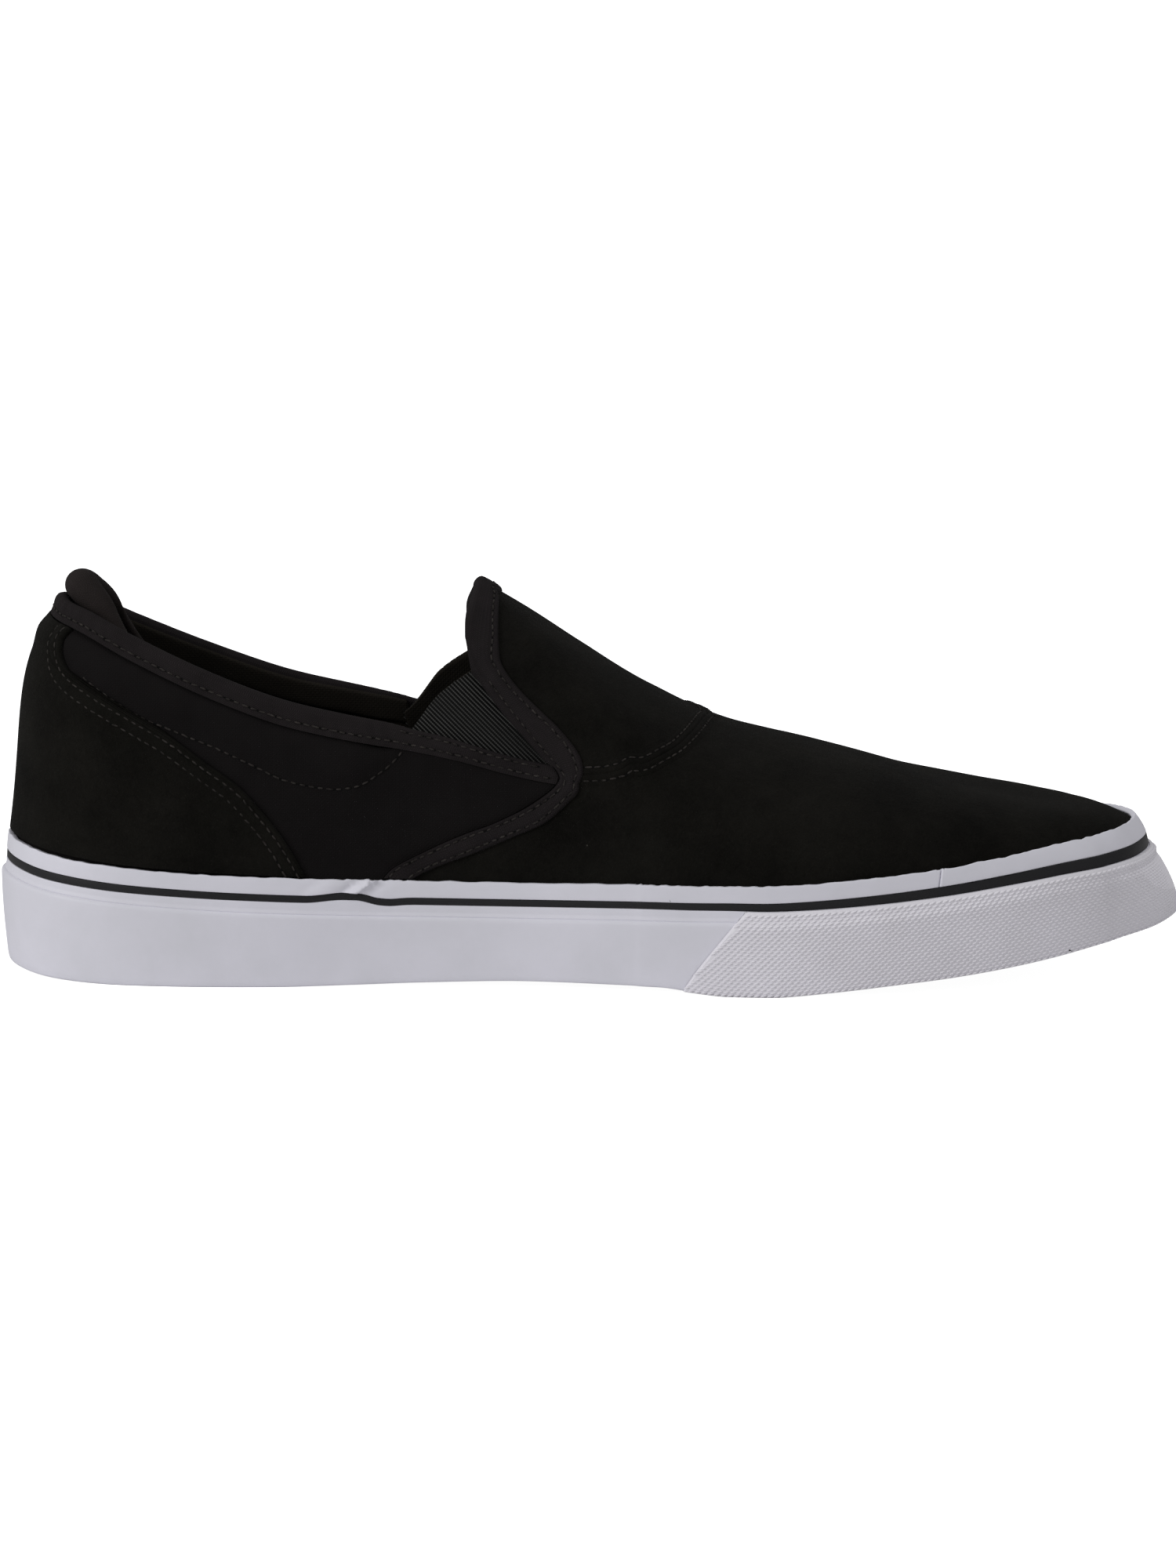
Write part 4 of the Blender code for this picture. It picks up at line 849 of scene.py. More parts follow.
def blend_colours(tree, mask, low, high):
    node = wire(tree, "ShaderNodeMix", {"Factor": mask}, data_type="RGBA")
    for title, value in (("A", low), ("B", high)):
        socket = [s for s in node.inputs if s.name == title and s.type == "RGBA"][0]
        feed(tree, socket, value if isinstance(value, bpy.types.NodeSocket) else (*value, 1.0))
    return [s for s in node.outputs if s.type == "RGBA"][0]


def spread(tree, value, low, high, to_low=0.0, to_high=1.0):
    """A value stretched from one range to another, and held at its ends."""
    node = wire(tree, "ShaderNodeMapRange", {"Value": value, "From Min": low, "From Max": high,
                                             "To Min": to_low, "To Max": to_high})
    return node.outputs[0]


def bump(tree, shader, height, distance, strength):
    node = wire(tree, "ShaderNodeBump", {"Height": height, "Distance": distance, "Strength": strength})
    tree.links.new(node.outputs[0], shader.inputs["Normal"])


def with_lint(tree, place, colour):
    """Pale lint and dust on dark cloth."""
    lint = use(tree, "specks", {"Place": place, "Spacing": LINT_SPACING, "Size": LINT_SIZE})["Mask"]
    return blend_colours(tree, lint, colour, (0.055, 0.052, 0.045))


def suede_finish(name, dark, light):
    made, tree, shader = start(name, Roughness=0.95, IOR=1.2, Specular_IOR_Level=0.3,
                               Sheen_Weight=0.008, Sheen_Roughness=0.6)
    place = place_on_object(tree)
    nap = use(tree, "nap", {"Place": place, "Fibres": 1900.0})
    shade = calc(tree, "MULTIPLY_ADD", nap["Mottle"], 0.9, calc(tree, "MULTIPLY", nap["Height"], 0.45))
    colour = blend_colours(tree, spread(tree, shade, 0.62, 1.08), dark, light)
    tree.links.new(with_lint(tree, place, colour), shader.inputs["Base Color"])
    bump(tree, shader, nap["Height"], 0.0004, 0.8)
    return made


def canvas_finish(name, dark, light, pitch, place_kind, depth):
    """Woven cloth: object places its threads along x and z, cloth along and across the strip."""
    made, tree, shader = start(name, Roughness=0.9, IOR=1.2, Specular_IOR_Level=0.35,
                               Sheen_Weight=0.006, Sheen_Roughness=0.5)
    place = place_on_object(tree)
    if place_kind == "cloth":
        spot = wire(tree, "ShaderNodeUVMap", uv_map="cloth").outputs[0]
        parts = wire(tree, "ShaderNodeSeparateXYZ", {0: spot}).outputs
        first, second = parts[0], parts[1]
    else:
        parts = wire(tree, "ShaderNodeSeparateXYZ", {0: place}).outputs
        first, second = parts[0], parts[2]
    first, second = calc(tree, "DIVIDE", first, pitch), calc(tree, "DIVIDE", second, pitch)
    if place_kind == "cloth":
        first, second = calc(tree, "ADD", first, second), calc(tree, "SUBTRACT", first, second)
    threads = {"Along": first, "Across": second}
    weave = use(tree, "weave", threads)["Height"]
    nap = use(tree, "nap", {"Place": place, "Fibres": 2600.0})
    height = calc(tree, "MULTIPLY_ADD", nap["Height"], 0.5, weave)
    shade = calc(tree, "MULTIPLY_ADD", nap["Mottle"], 0.8, calc(tree, "MULTIPLY", height, depth))
    colour = blend_colours(tree, spread(tree, shade, 0.3, 1.1), dark, light)
    tree.links.new(with_lint(tree, place, colour), shader.inputs["Base Color"])
    bump(tree, shader, height, 0.0005 * depth, 0.8)
    return made


def elastic_finish():
    """Ribbed elastic: painted highlight on its ribs, and painted shade in the gaps between them."""
    made, tree, shader = start("elastic_webbing", Roughness=0.8, IOR=1.25, Specular_IOR_Level=0.4)
    place = place_on_object(tree)
    parts = wire(tree, "ShaderNodeSeparateXYZ", {0: place}).outputs
    sine, cosine = math.sin(RIB_ANGLE), math.cos(RIB_ANGLE)
    count = calc(tree, "MULTIPLY_ADD", parts[0], sine, calc(tree, "MULTIPLY", parts[2], cosine))
    phase = calc(tree, "MULTIPLY", count, 2 * math.pi / RIB_PITCH)
    rib = calc(tree, "MULTIPLY_ADD", calc(tree, "COSINE", phase), 0.5, 0.5)
    run = calc(tree, "MULTIPLY_ADD", parts[0], cosine, calc(tree, "MULTIPLY", parts[2], -sine))
    twist = calc(tree, "SINE", calc(tree, "MULTIPLY", run, 2 * math.pi / (RIB_PITCH * 0.6)))
    nap = use(tree, "nap", {"Place": place, "Fibres": 3000.0})
    shade = calc(tree, "MULTIPLY_ADD", nap["Height"], 0.25, calc(tree, "MULTIPLY_ADD", twist, 0.14, rib))
    # Painted highlight along each rib and painted shade between the ribs, from the rib's phase.
    lit = spread(tree, shade, 0.72, 1.3)
    colour = blend_colours(tree, lit, (0.0026, 0.0026, 0.0025), (0.062, 0.062, 0.059))
    tree.links.new(colour, shader.inputs["Base Color"])
    bump(tree, shader, calc(tree, "MULTIPLY_ADD", twist, 0.3, nap["Height"]), 0.0001, 0.7)
    return made


def rubber_finish(name, clean_colour, soiled, dirt, roughness=0.5):
    """Moulded rubber with faint stains and a few dark specks."""
    made, tree, shader = start(name, Roughness=roughness, Specular_IOR_Level=0.35, Coat_Weight=0.04,
                               Coat_Roughness=0.4)
    place = place_on_object(tree)
    noise = {"Vector": place, "Roughness": 0.6}
    stain = wire(tree, "ShaderNodeTexNoise", {**noise, "Scale": 38.0, "Detail": 4.0})
    fine = wire(tree, "ShaderNodeTexNoise", {**noise, "Scale": 900.0, "Detail": 3.0})
    colour = blend_colours(tree, spread(tree, stain.outputs[0], 0.35, 0.75), clean_colour, soiled)
    specks = use(tree, "specks", {"Place": place, "Spacing": DIRT_SPACING, "Size": DIRT_SIZE})["Mask"]
    colour = blend_colours(tree, calc(tree, "MULTIPLY", specks, dirt), colour, (0.02, 0.02, 0.022))
    tree.links.new(colour, shader.inputs["Base Color"])
    tree.links.new(spread(tree, stain.outputs[0], 0.3, 0.8, roughness - 0.05, roughness + 0.1),
                   shader.inputs["Roughness"])
    bump(tree, shader, fine.outputs[0], 0.00006, 0.5)
    return made


def thread_finish(name, dark, light):
    made, tree, shader = start(name, Roughness=0.75, IOR=1.25, Specular_IOR_Level=0.3)
    nap = use(tree, "nap", {"Place": place_on_object(tree), "Fibres": 1500.0})
    colour = blend_colours(tree, spread(tree, nap["Height"], 0.65, 1.15), dark, light)
    tree.links.new(colour, shader.inputs["Base Color"])
    bump(tree, shader, nap["Height"], 0.0001, 0.6)
    return made


SUEDE = suede_finish("suede", (0.0034, 0.0031, 0.0024), (0.0100, 0.0093, 0.0076))
CANVAS, WEBBING, LINING_CLOTH, INSOLE_CLOTH, PAD_CLOTH = (
    canvas_finish(*cloth) for cloth in (
        ("canvas", (0.0058, 0.0049, 0.0050), (0.0118, 0.0103, 0.0105), 0.00046, "object", 0.14),
        ("webbing", (0.0085, 0.0071, 0.0075), (0.0245, 0.0205, 0.0214), 0.00055, "cloth", 0.30),
        ("lining_cloth", (0.0170, 0.0146, 0.0118), (0.0300, 0.0262, 0.0216), 0.0006, "object", 0.15),
        ("insole_cloth", (0.010, 0.010, 0.010), (0.022, 0.021, 0.021), 0.0008, "object", 0.30),
        ("pad_cloth", (0.0120, 0.0097, 0.0094), (0.0350, 0.0285, 0.0272), 0.00062, "cloth", 0.22),
    )
)
ELASTIC = elastic_finish()
WHITE_RUBBER = rubber_finish("white_rubber", (0.80, 0.79, 0.87), (0.73, 0.725, 0.79), 0.8)
# Paler than the white rubber: painted light, lifting the toe bumper that the light from the heel side and its
# grain's shadows leave darker.
PAINTED_LIGHT_BUMPER_RUBBER = rubber_finish("bumper_rubber", (0.90, 0.88, 0.94), (0.83, 0.81, 0.86), 0.9, 0.55)
STRIPE_RUBBER = rubber_finish("stripe_rubber", (0.0062, 0.0062, 0.0080), (0.0100, 0.0095, 0.0115), 0.3, 0.6)
OUTSOLE_RUBBER = rubber_finish("outsole_rubber", (0.018, 0.018, 0.019), (0.030, 0.030, 0.030), 0.2, 0.6)
THREAD = thread_finish("thread", (0.0075, 0.0066, 0.0060), (0.047, 0.0415, 0.0385))
# Near-black finish of the flat rounds at the stitches' ends: painted shade in the pricked holes.
HOLE_SHADE = thread_finish("painted_hole_shade", (0.0012, 0.0011, 0.0011), (0.0028, 0.0026, 0.0025))


# The upper's panels


def upper_grid(fine):
    """u and w over the whole upper: the quarters up to their edge, and the flap's rows above them."""
    u = both_sides(np.linspace(0, TOE_TIP, TOE_TIP * fine + 1))
    edge = np.where(row_of(u) <= GORE_REAR, 1.0, np.clip(along("edge", u), 0, 1))
    low = edge[:, None] * np.linspace(0, 1, LOW_ROWS)
    flap = edge[:, None] + (1 - edge)[:, None] * np.linspace(0, 1, FLAP_ROWS)[1:]
    w = np.concatenate([low, flap], 1)
    return np.broadcast_to(u[:, None], w.shape), w


def tucked(u, w, out, under_out):
    """The wall's points, with the rows that run down behind the foxing tape put before them."""
    ring = u[:, 0]
    drop = np.stack([along("base_z", ring) - core_z(ring), TAPE_BEND + 0 * ring, TAPE_KNUCKLE + 0 * ring], 1)
    under = skirt(np.broadcast_to(ring[:, None], drop.shape), drop, under_out)
    return np.concatenate([under, skin(u, w, out)], 1)


def cell_middles(u, w):
    """row_of(u) and w in the middle of each cell of the grid, with the tucked rows put before them."""
    step = (np.roll(u, -1, 0) - u) % RING
    row = row_of(u + step / 2)[:, :-1]
    middle = (w[:, :-1] + w[:, 1:] + np.roll(w, -1, 0)[:, :-1] + np.roll(w, -1, 0)[:, 1:]) / 4
    tucked_rows = 3
    return (np.concatenate([row[:, :tucked_rows], row], 1),
            np.concatenate([0 * middle[:, :tucked_rows], middle], 1))


def panel(name, points, keep, finish):
    mesh = grid_mesh(name, points, looped=True, keep=keep)
    clean(mesh, weld=True)
    return put(name, mesh, finish, ("upper",), SKIN)


def upper_panels():
    """Suede vamp with its instep flap, and a canvas quarter on each side. The binding hides their joins."""
    u, w = upper_grid(FINE)
    points = tucked(u, w, 0.0, 0.0)
    row, middle = cell_middles(u, w)
    open_air = (row < FLAP_CORNER) & (np.arange(row.shape[1]) >= LOW_ROWS + 2)
    rear_u, rear_w, front_u, front_w = np.array(FLAP_BINDING[:11]).T
    seam = np.interp(row, (rear_u + front_u) / 2, (rear_w + front_w) / 2)
    canvas = (row < FLAP_BINDING[0].rear_u) | ((row < 9.3) & (middle > seam))
    inner_side = np.broadcast_to((np.arange(len(row)) < len(row) // 2)[:, None], row.shape)
    panel("vamp", points, ~canvas & ~open_air, SUEDE)
    panel("quarter_medial", points, canvas & ~open_air & inner_side, CANVAS)
    panel("quarter_lateral", points, canvas & ~open_air & ~inner_side, CANVAS)


def lining():
    """The cloth inside the shoe, padded out at the collar."""
    u, w = upper_grid(FINE // 2)
    pad = along("pad", u).clip(0) * smoothstep(w, PAD_START, PAD_FULL)
    points = tucked(u, w, -UPPER_WALL - pad, -UPPER_WALL)
    row, _ = cell_middles(u, w)
    open_air = (row < FLAP_CORNER) & (np.arange(row.shape[1]) >= LOW_ROWS + 2)
    mesh = grid_mesh("lining", points, looped=True, keep=~open_air)
    mesh.flip_normals()
    clean(mesh, weld=True)
    return put("lining", mesh, LINING_CLOTH, ("upper",), LINING)


def heel_counter():
    """Suede over the heel, with a rounded edge and the grooves of its two rows of stitches."""
    rows = 90
    edge_u, edge_w = through(COUNTER_EDGE, np.linspace(0, len(COUNTER_EDGE) - 1, rows)).T
    reach = np.linspace(0, 1, 40)[None]
    line = form(edge_u[:, None] * reach, edge_w[:, None] + 0 * reach)
    length = np.linalg.norm(np.diff(line, axis=1), axis=-1).sum(1)[:, None]
    near = np.array([0, 0.1, 0.3, 0.6, 1.0, 1.3, 1.6, 1.9, 2.4, 3.2, 3.9, 4.3, 4.7, 5.4]) * 0.001
    inside = np.linspace(1, 0, 44)[1:]
    away = np.concatenate([near + 0 * length, near[-1] + (length - near[-1]) * (1 - inside)], 1)
    share = (1 - away / length)[:, ::-1]
    away = away[:, ::-1]
    share = np.concatenate([-share[:, :0:-1], share], 1)
    away = np.concatenate([away[:, :0:-1], away], 1)
    out = HAIR + (OVERLAY_GAP + COUNTER_THICKNESS - HAIR) * edge_round(away, COUNTER_ROUND)
    out = out - groove(away, COUNTER_ROWS)
    u = share * edge_u[:, None]
    w = np.broadcast_to(edge_w[:, None], u.shape)
    points = skin(u, w, out).transpose(1, 0, 2)
    mesh = grid_mesh("heel_counter", points)
    return put("heel_counter", mesh, SUEDE, ("heel_counter",), COUNTER_THICKNESS)


def groove(height, rows):
    """The dent of stitch rows in a strip, at each place of its section."""
    return STITCH_DENT * sum(hill(height, row, DENT_WIDTH) for row in rows)


def collar_sizes(u):
    """The collar binding's reach out of the wall, its height, and the foam's thickness, at each place."""
    proud = BINDING_PROUD + BINDING_SWELL * heel_share(u)
    tall = BINDING_HEIGHT - BINDING_DIP * heel_share(u)
    return proud, tall, along("pad", u).clip(0)


def collar_section(tall, half_width):
    """The collar binding's section: up its outer side, over the top and down its inner side."""
    rise = np.linspace(-BINDING_LAP, tall - half_width, 16)[:-1]
    angle = np.linspace(0, math.pi, 13)
    height = np.concatenate([rise, tall - half_width + half_width * np.sin(angle), rise[::-1]])
    side = np.concatenate([0 * rise, (1 - np.cos(angle)) / 2, 1 + 0 * rise])
    return height, side


def heel_share(u):
    """1 at the heel back, falling to 0 at the heel's sides."""
    return 1 - smoothstep(row_of(u), *HEEL_SIDES)


def quarter_edge(u):
    """w at the quarter's top edge, eased over the corner at the gore's rear end."""
    row = row_of(u)
    w = np.where(row <= GORE_REAR, 1.0, np.clip(along("edge", u), 0, 1))
    eased_row, eased_w = np.array(EASED_EDGE).T
    return np.where((row > eased_row[0]) & (row < eased_row[-1]), np.interp(row, eased_row, eased_w), w)


def past_edge(u, height, out):
    """A point above the quarter's top edge, along the wall's own direction but straighter at the heel."""
    w = quarter_edge(u)
    reach = 0.01
    climb = np.linalg.norm(form(u, w) - form(u, w - reach), axis=-1) / reach
    wanted = w + height / climb
    reached = np.minimum(wanted, 1.0)
    direction = unit(form(u, reached) - form(u, reached - reach))
    direction[..., 2] += BINDING_UPRIGHT * heel_share(u)
    return skin(u, reached, out) + unit(direction) * ((wanted - reached) * climb)[..., None]


def collar_binding():
    """Folded webbing on the quarters' top edge, from one gore's front round the heel to the other's."""
    u = round_the_heel(FLAP_CORNER + 0.45, 210)
    proud, tall, pad = collar_sizes(u)
    width = proud + UPPER_WALL + pad
    sections = [collar_section(*place) for place in zip(tall, width / 2)]
    height = np.array([section[0] for section in sections])
    side = np.array([section[1] for section in sections])
    outer_leg = smoothstep(1 - side, 0.5, 1.0)
    dent = groove(height, COLLAR_ROWS[:1])
    dent = dent + groove(height, COLLAR_ROWS[1:]) * smoothstep(row_of(u), 7.1, 7.3)[:, None]
    pucker = 0.00008 * np.sin(2 * math.pi * np.arange(len(u)) / 7)[:, None] * outer_leg
    out = proud[:, None] - side * width[:, None] - dent * outer_leg + pucker
    points = past_edge(np.broadcast_to(u[:, None], out.shape), GAP + height, out)
    run = run_along(points[:, 0])
    across_section = np.linspace(0, 2 * BINDING_HEIGHT, points.shape[1] + 1)
    mesh = grid_mesh("collar_binding", points, run, across_section, closed=True, ends=True)
    clean(mesh, solid=True)
    return put("collar_binding", mesh, WEBBING, ("collar_binding",))


def collar_lining():
    """The lining's cloth, which laps up over the collar binding's inner leg."""
    u = round_the_heel(GORE_REAR + 0.2, 150)
    proud, tall, pad = collar_sizes(u)
    inner = -(UPPER_WALL + pad) - HAIR
    radius = (proud - inner) / 2
    share = np.linspace(0, 1, 9)[None]
    height = -BINDING_LAP - 0.001 + (tall - radius * 0.5 + BINDING_LAP + 0.001)[:, None] * share
    over = np.clip((height - (tall - radius)[:, None]) / radius[:, None], 0, 1)
    out = inner[:, None] + radius[:, None] * (1 - np.sqrt(1 - over**2))
    mesh = grid_mesh("collar_lining", past_edge(np.broadcast_to(u[:, None], out.shape), GAP + height, out))
    return put("collar_lining", mesh, LINING_CLOTH, ("collar_binding",), 0.0003)


def flap_rows(count):
    """The flap binding's rear and front edges, from the tape on the inner side to the flap's top."""
    t = np.linspace(0, len(FLAP_BINDING) - 1, count)
    return through(FLAP_BINDING, t).T, t


def flap_binding():
    """Folded webbing along the seams, up the gores' fronts and round the flap's free edge."""
    (rear_u, rear_w, front_u, front_w), t = flap_rows(240)
    rear_w, front_w = rear_w.clip(0, 1), front_w.clip(0, 1)
    t = np.concatenate([t, t[:-1][::-1]])
    rear_u = np.concatenate([rear_u, across(rear_u[:-1])[::-1]])
    front_u = np.concatenate([front_u, across(front_u[:-1])[::-1]])
    rear_w = np.concatenate([rear_w, rear_w[:-1][::-1]])
    front_w = np.concatenate([front_w, front_w[:-1][::-1]])
    wrap = smoothstep(t, 9.0, 11.0)
    top = 2 * HAIR + FLAP_BINDING_THICKNESS
    bottom = HAIR / 2 - wrap * (UPPER_WALL + FOLD_THICKNESS + 2 * HAIR)
    half = np.array([0, 0.03, 0.08, 0.14, 0.2, 0.26, 0.32, 0.4])
    share = np.concatenate([half, [0.5], 1 - half[::-1]])
    u = front_u[:, None] + (rear_u - front_u)[:, None] * share
    w = front_w[:, None] + (rear_w - front_w)[:, None] * share
    width = np.linalg.norm(form(rear_u, rear_w) - form(front_u, front_w), axis=-1)[:, None]
    away = share * width
    rise = edge_round(away, BINDING_ROUND)
    fall = edge_round(width - away, BINDING_ROUND)
    fall = fall + (1 - fall) * wrap[:, None]
    rows = groove(away, FLAP_ROWS_AWAY[:1])
    rows = rows + groove(width - away, FLAP_ROWS_AWAY[1:]) * second_row(t)[:, None]
    out = HAIR / 2 + (top - HAIR / 2) * rise * fall - rows
    outer = skin(u, w, out)

    middle = (top + bottom) / 2
    half = (top - bottom) / 2
    rear = skin(rear_u, rear_w, middle)
    ahead = unit(rear - skin(front_u, front_w, middle))
    normal = form_normal(rear_u, rear_w)
    angle = np.linspace(math.pi / 2, -math.pi / 2, 9)[1:-1]
    radius = (half * wrap)[:, None, None]
    turn = np.cos(angle)[None, :, None] * radius * 0.8 * ahead[:, None]
    turn = turn + np.sin(angle)[None, :, None] * half[:, None, None] * normal[:, None]
    fold = rear[:, None] + turn
    inner_out = np.broadcast_to(bottom[:, None], u.shape)[:, 1:]
    inner = skin(u[:, :0:-1], w[:, :0:-1], inner_out)
    points = np.concatenate([outer, fold, inner], 1)
    run = run_along(points[:, 8])
    across_section = np.linspace(0, 0.014, points.shape[1] + 1)
    mesh = grid_mesh("flap_binding", points, run, across_section, closed=True, ends=True)
    clean(mesh, solid=True)
    return put("flap_binding", mesh, WEBBING, ("flap_binding",))


def second_row(t):
    """Where the flap binding has a second row of stitches: below the gore's top."""
    return 1 - smoothstep(t, 15.6, 16.2)


def instep_seam(name, outer_side):
    """The lapped seam between the vamp and the flap: a ridge between two grooves, up to the crest."""
    u, w = seam_path(INSTEP_SEAM)
    section = (
        (-3.0, 0.02), (-2.6, 0.16), (-2.1, 0.30), (-1.7, 0.16), (-1.3, 0.42), (-0.5, 0.62), (0.0, 0.30),
        (0.4, 0.52), (1.2, 0.40), (1.7, 0.14), (2.1, 0.26), (2.6, 0.14), (3.0, 0.02),
        (2.0, -0.3), (-2.0, -0.3),
    )
    lines = []
    for side, out in section:
        beside_u, beside_w = beside(u, w, side * 0.001)
        if outer_side:
            beside_u = across(beside_u)
        lines.append(skin(beside_u, np.minimum(beside_w, 1.0), out * 0.001))
    mesh = grid_mesh(name, np.stack(lines, 1), closed=True, ends=True)
    clean(mesh, solid=True)
    return put(name, mesh, SUEDE, ("upper",))


# Stitches


def stitch_shape():
    """One stitch as rings along its length (x), across (y) and up (z), and the faces that join them."""
    place = np.array([-0.5, -0.44, -0.25, 0.0, 0.25, 0.44, 0.5]) * STITCH_LENGTH
    size = np.array([0.25, 0.7, 0.97, 1.0, 0.97, 0.7, 0.25]) * STITCH_WIDTH / 2
    sides = 6
    angle = np.arange(sides) * 2 * math.pi / sides
    x = np.broadcast_to(place[:, None], (len(place), sides))
    arch = 0.00012 * (1 - (place / place[-1]) ** 2) - 0.00004
    y = size[:, None] * np.cos(angle)
    z = arch[:, None] + size[:, None] * 0.8 * np.sin(angle)
    cells = quads(len(place), sides, closed=True)
    faces = (cells[..., 0] * sides + cells[..., 1] % sides).tolist()
    faces.append(list(range(sides))[::-1])
    faces.append(list(range((len(place) - 1) * sides, len(place) * sides)))
    return np.stack([x, y, z], -1).reshape(-1, 3), faces


def hole_shape():
    """The two pricked holes at a stitch's ends, as flat rounds that carry their painted shade."""
    angle = np.arange(7) * 2 * math.pi / 7
    ring = np.stack([np.cos(angle), np.sin(angle), 0 * angle], 1) * HOLE_RADIUS
    shift = np.array([STITCH_LENGTH / 2 + HOLE_RADIUS * 0.5, 0, -0.00007])
    both_ends = np.concatenate([ring + shift, ring + shift * (-1, 1, 1)])
    return both_ends, [list(range(7)), list(range(7, 14))]


def stitched(name, rows, shape, shape_faces, solid):
    """A joined mesh of a shape repeated along rows of points, each a pair of its points and their normals."""
    points, faces = [], []
    for line, normal in rows:
        run = run_along(line)
        places = np.arange(STITCH_PITCH / 2, run[-1] - STITCH_PITCH / 3, STITCH_PITCH)
        wobble = np.random.default_rng(len(places)).normal(0, 1, (len(places), 3))
        at = np.stack([np.interp(places, run, line[:, k]) for k in range(3)], 1)
        ahead = np.stack([np.interp(places + 0.0004, run, line[:, k]) for k in range(3)], 1)
        behind = np.stack([np.interp(places - 0.0004, run, line[:, k]) for k in range(3)], 1)
        up = np.stack([np.interp(places, run, normal[:, k]) for k in range(3)], 1)
        direction = unit(ahead - behind + wobble[:, :1] * STITCH_WANDER)
        side = unit(np.cross(up, direction))
        up = np.cross(direction, side)
        for centre, x, y, z, own in zip(at, direction, side, up, 1 + 0.12 * wobble[:, 2]):
            faces += [[corner + len(points) * len(shape) for corner in face] for face in shape_faces]
            points.append(centre + shape[:, :1] * x * own + shape[:, 1:2] * y + shape[:, 2:] * z)
    mesh = bpy.data.meshes.new(name)
    mesh.from_pydata((np.concatenate(points) - MIDDLE).tolist(), [], faces)
    clean(mesh, solid=solid)
    return mesh


def put_stitches(name, rows, nodes):
    """Rows of stitches, with the holes that they pull into the cloth, darkened by painted shade."""
    put(name, stitched(name, rows, *stitch_shape(), True), THREAD, nodes)
    name = name + "_holes"
    put(name, stitched(name, rows, *hole_shape(), False), HOLE_SHADE, nodes)


def row_on_skin(u, w, out):
    w = np.minimum(w, 1.0)
    return skin(u, w, out), form_normal(u, w)


def both(u, w, out):
    """A row of stitches on the inner side and the same on the outer side."""
    return [row_on_skin(u, w, out), row_on_skin(across(u), w, out)]


def counter_stitches():
    u, w = seam_path(COUNTER_EDGE)
    rows = []
    for away in COUNTER_ROWS:
        moved = beside(u, w, away)
        rows += both(*moved, OVERLAY_GAP + COUNTER_THICKNESS - STITCH_DENT + HAIR)
    put_stitches("counter_stitches", rows, ("heel_counter",))


def padding_stitches():
    u, w = seam_path(COLLAR_PADDING)
    rows = both(u, w, HAIR)
    put_stitches("padding_stitches", rows, ("upper",))


def collar_stitches():
    rows = []
    whole = np.linspace(0, FLAP_CORNER - 0.12, 700)
    gore_part = np.linspace(7.15, FLAP_CORNER - 0.12, 300)
    for half, height in ((whole, COLLAR_ROWS[0]), (gore_part, COLLAR_ROWS[1])):
        for u in (half, across(half) % RING):
            line = past_edge(u, GAP + height + 0 * u, collar_sizes(u)[0] - STITCH_DENT + HAIR)
            rows.append((line, form_normal(u, quarter_edge(u))))
    put_stitches("collar_stitches", rows, ("collar_binding",))


def flap_stitches():
    (rear_u, rear_w, front_u, front_w), t = flap_rows(700)
    width = np.linalg.norm(form(rear_u, rear_w) - form(front_u, front_w), axis=-1)
    rows = []
    for number, away in enumerate(FLAP_ROWS_AWAY):
        share = away / width if number == 0 else 1 - away / width
        u = front_u + (rear_u - front_u) * share
        w = front_w + (rear_w - front_w) * share
        kept = second_row(t) > 0.5 if number else t >= 0
        rows += both(u[kept], w[kept], FLAP_BINDING_THICKNESS - STITCH_DENT + 3 * HAIR)
    put_stitches("flap_stitches", rows, ("flap_binding",))


def instep_stitches():
    u, w = seam_path(INSTEP_SEAM)
    rows = []
    for side in (-SEAM_HALF, SEAM_HALF):
        moved_u, moved_w = beside(u, w, side)
        kept = moved_w < 1.0
        rows += both(moved_u[kept], moved_w[kept], 3 * HAIR)
    put_stitches("instep_stitches", rows, ("upper",))


# Gores, heel pad and insole


def rib_place(points):
    """Distance across the gore's ribs."""
    return points[..., 0] * math.sin(RIB_ANGLE) + points[..., 2] * math.cos(RIB_ANGLE)


def gore(name, outer_side):
    """Elastic with ribs that run down towards the toe. Its grid follows the ribs."""
    u = np.linspace(7.10, 9.35, 46)
    if outer_side:
        u = across(u)
    climb = np.linalg.norm(form(u, 1.0 + 0 * u) - form(u, 0 * u), axis=-1)
    bottom = np.clip(along("edge", u), 0, 1) - GORE_OVERLAP / climb
    top = np.interp(row_of(u), *GORE_EDGE)
    ends = rib_place(form(u, bottom) - MIDDLE), rib_place(form(u, top) - MIDDLE)
    step = RIB_PITCH / 8
    first, final = np.floor(ends[0].min() / step), np.ceil(ends[1].max() / step)
    wanted = np.arange(first, final + 1)[:, None] * step
    low = np.broadcast_to(bottom, (len(wanted), len(u))).copy()
    high = np.broadcast_to(top, low.shape).copy()
    grid_u = np.broadcast_to(u, low.shape)
    for _ in range(18):
        middle = (low + high) / 2
        above = rib_place(form(grid_u, middle) - MIDDLE) > wanted
        high = np.where(above, middle, high)
        low = np.where(above, low, middle)
    w = (low + high) / 2
    outside = (w < bottom + 0.0005) | (w > top - 0.0005)
    corners = (outside[:-1, :-1], outside[1:, :-1], outside[1:, 1:], outside[:-1, 1:])
    keep = ~np.logical_and.reduce(corners)
    phase = 2 * math.pi * wanted / RIB_PITCH
    rib = np.abs(np.cos(phase / 2)) * RIB_HEIGHT
    points = shell(grid_u, w, -(UPPER_WALL + GAP) - RIB_HEIGHT + rib + 0 * w)
    mesh = grid_mesh(name, points, keep=keep)
    clean(mesh, weld=True)
    if not outer_side:
        mesh.flip_normals()
    return put(name, mesh, ELASTIC, (name,), GORE_THICKNESS)


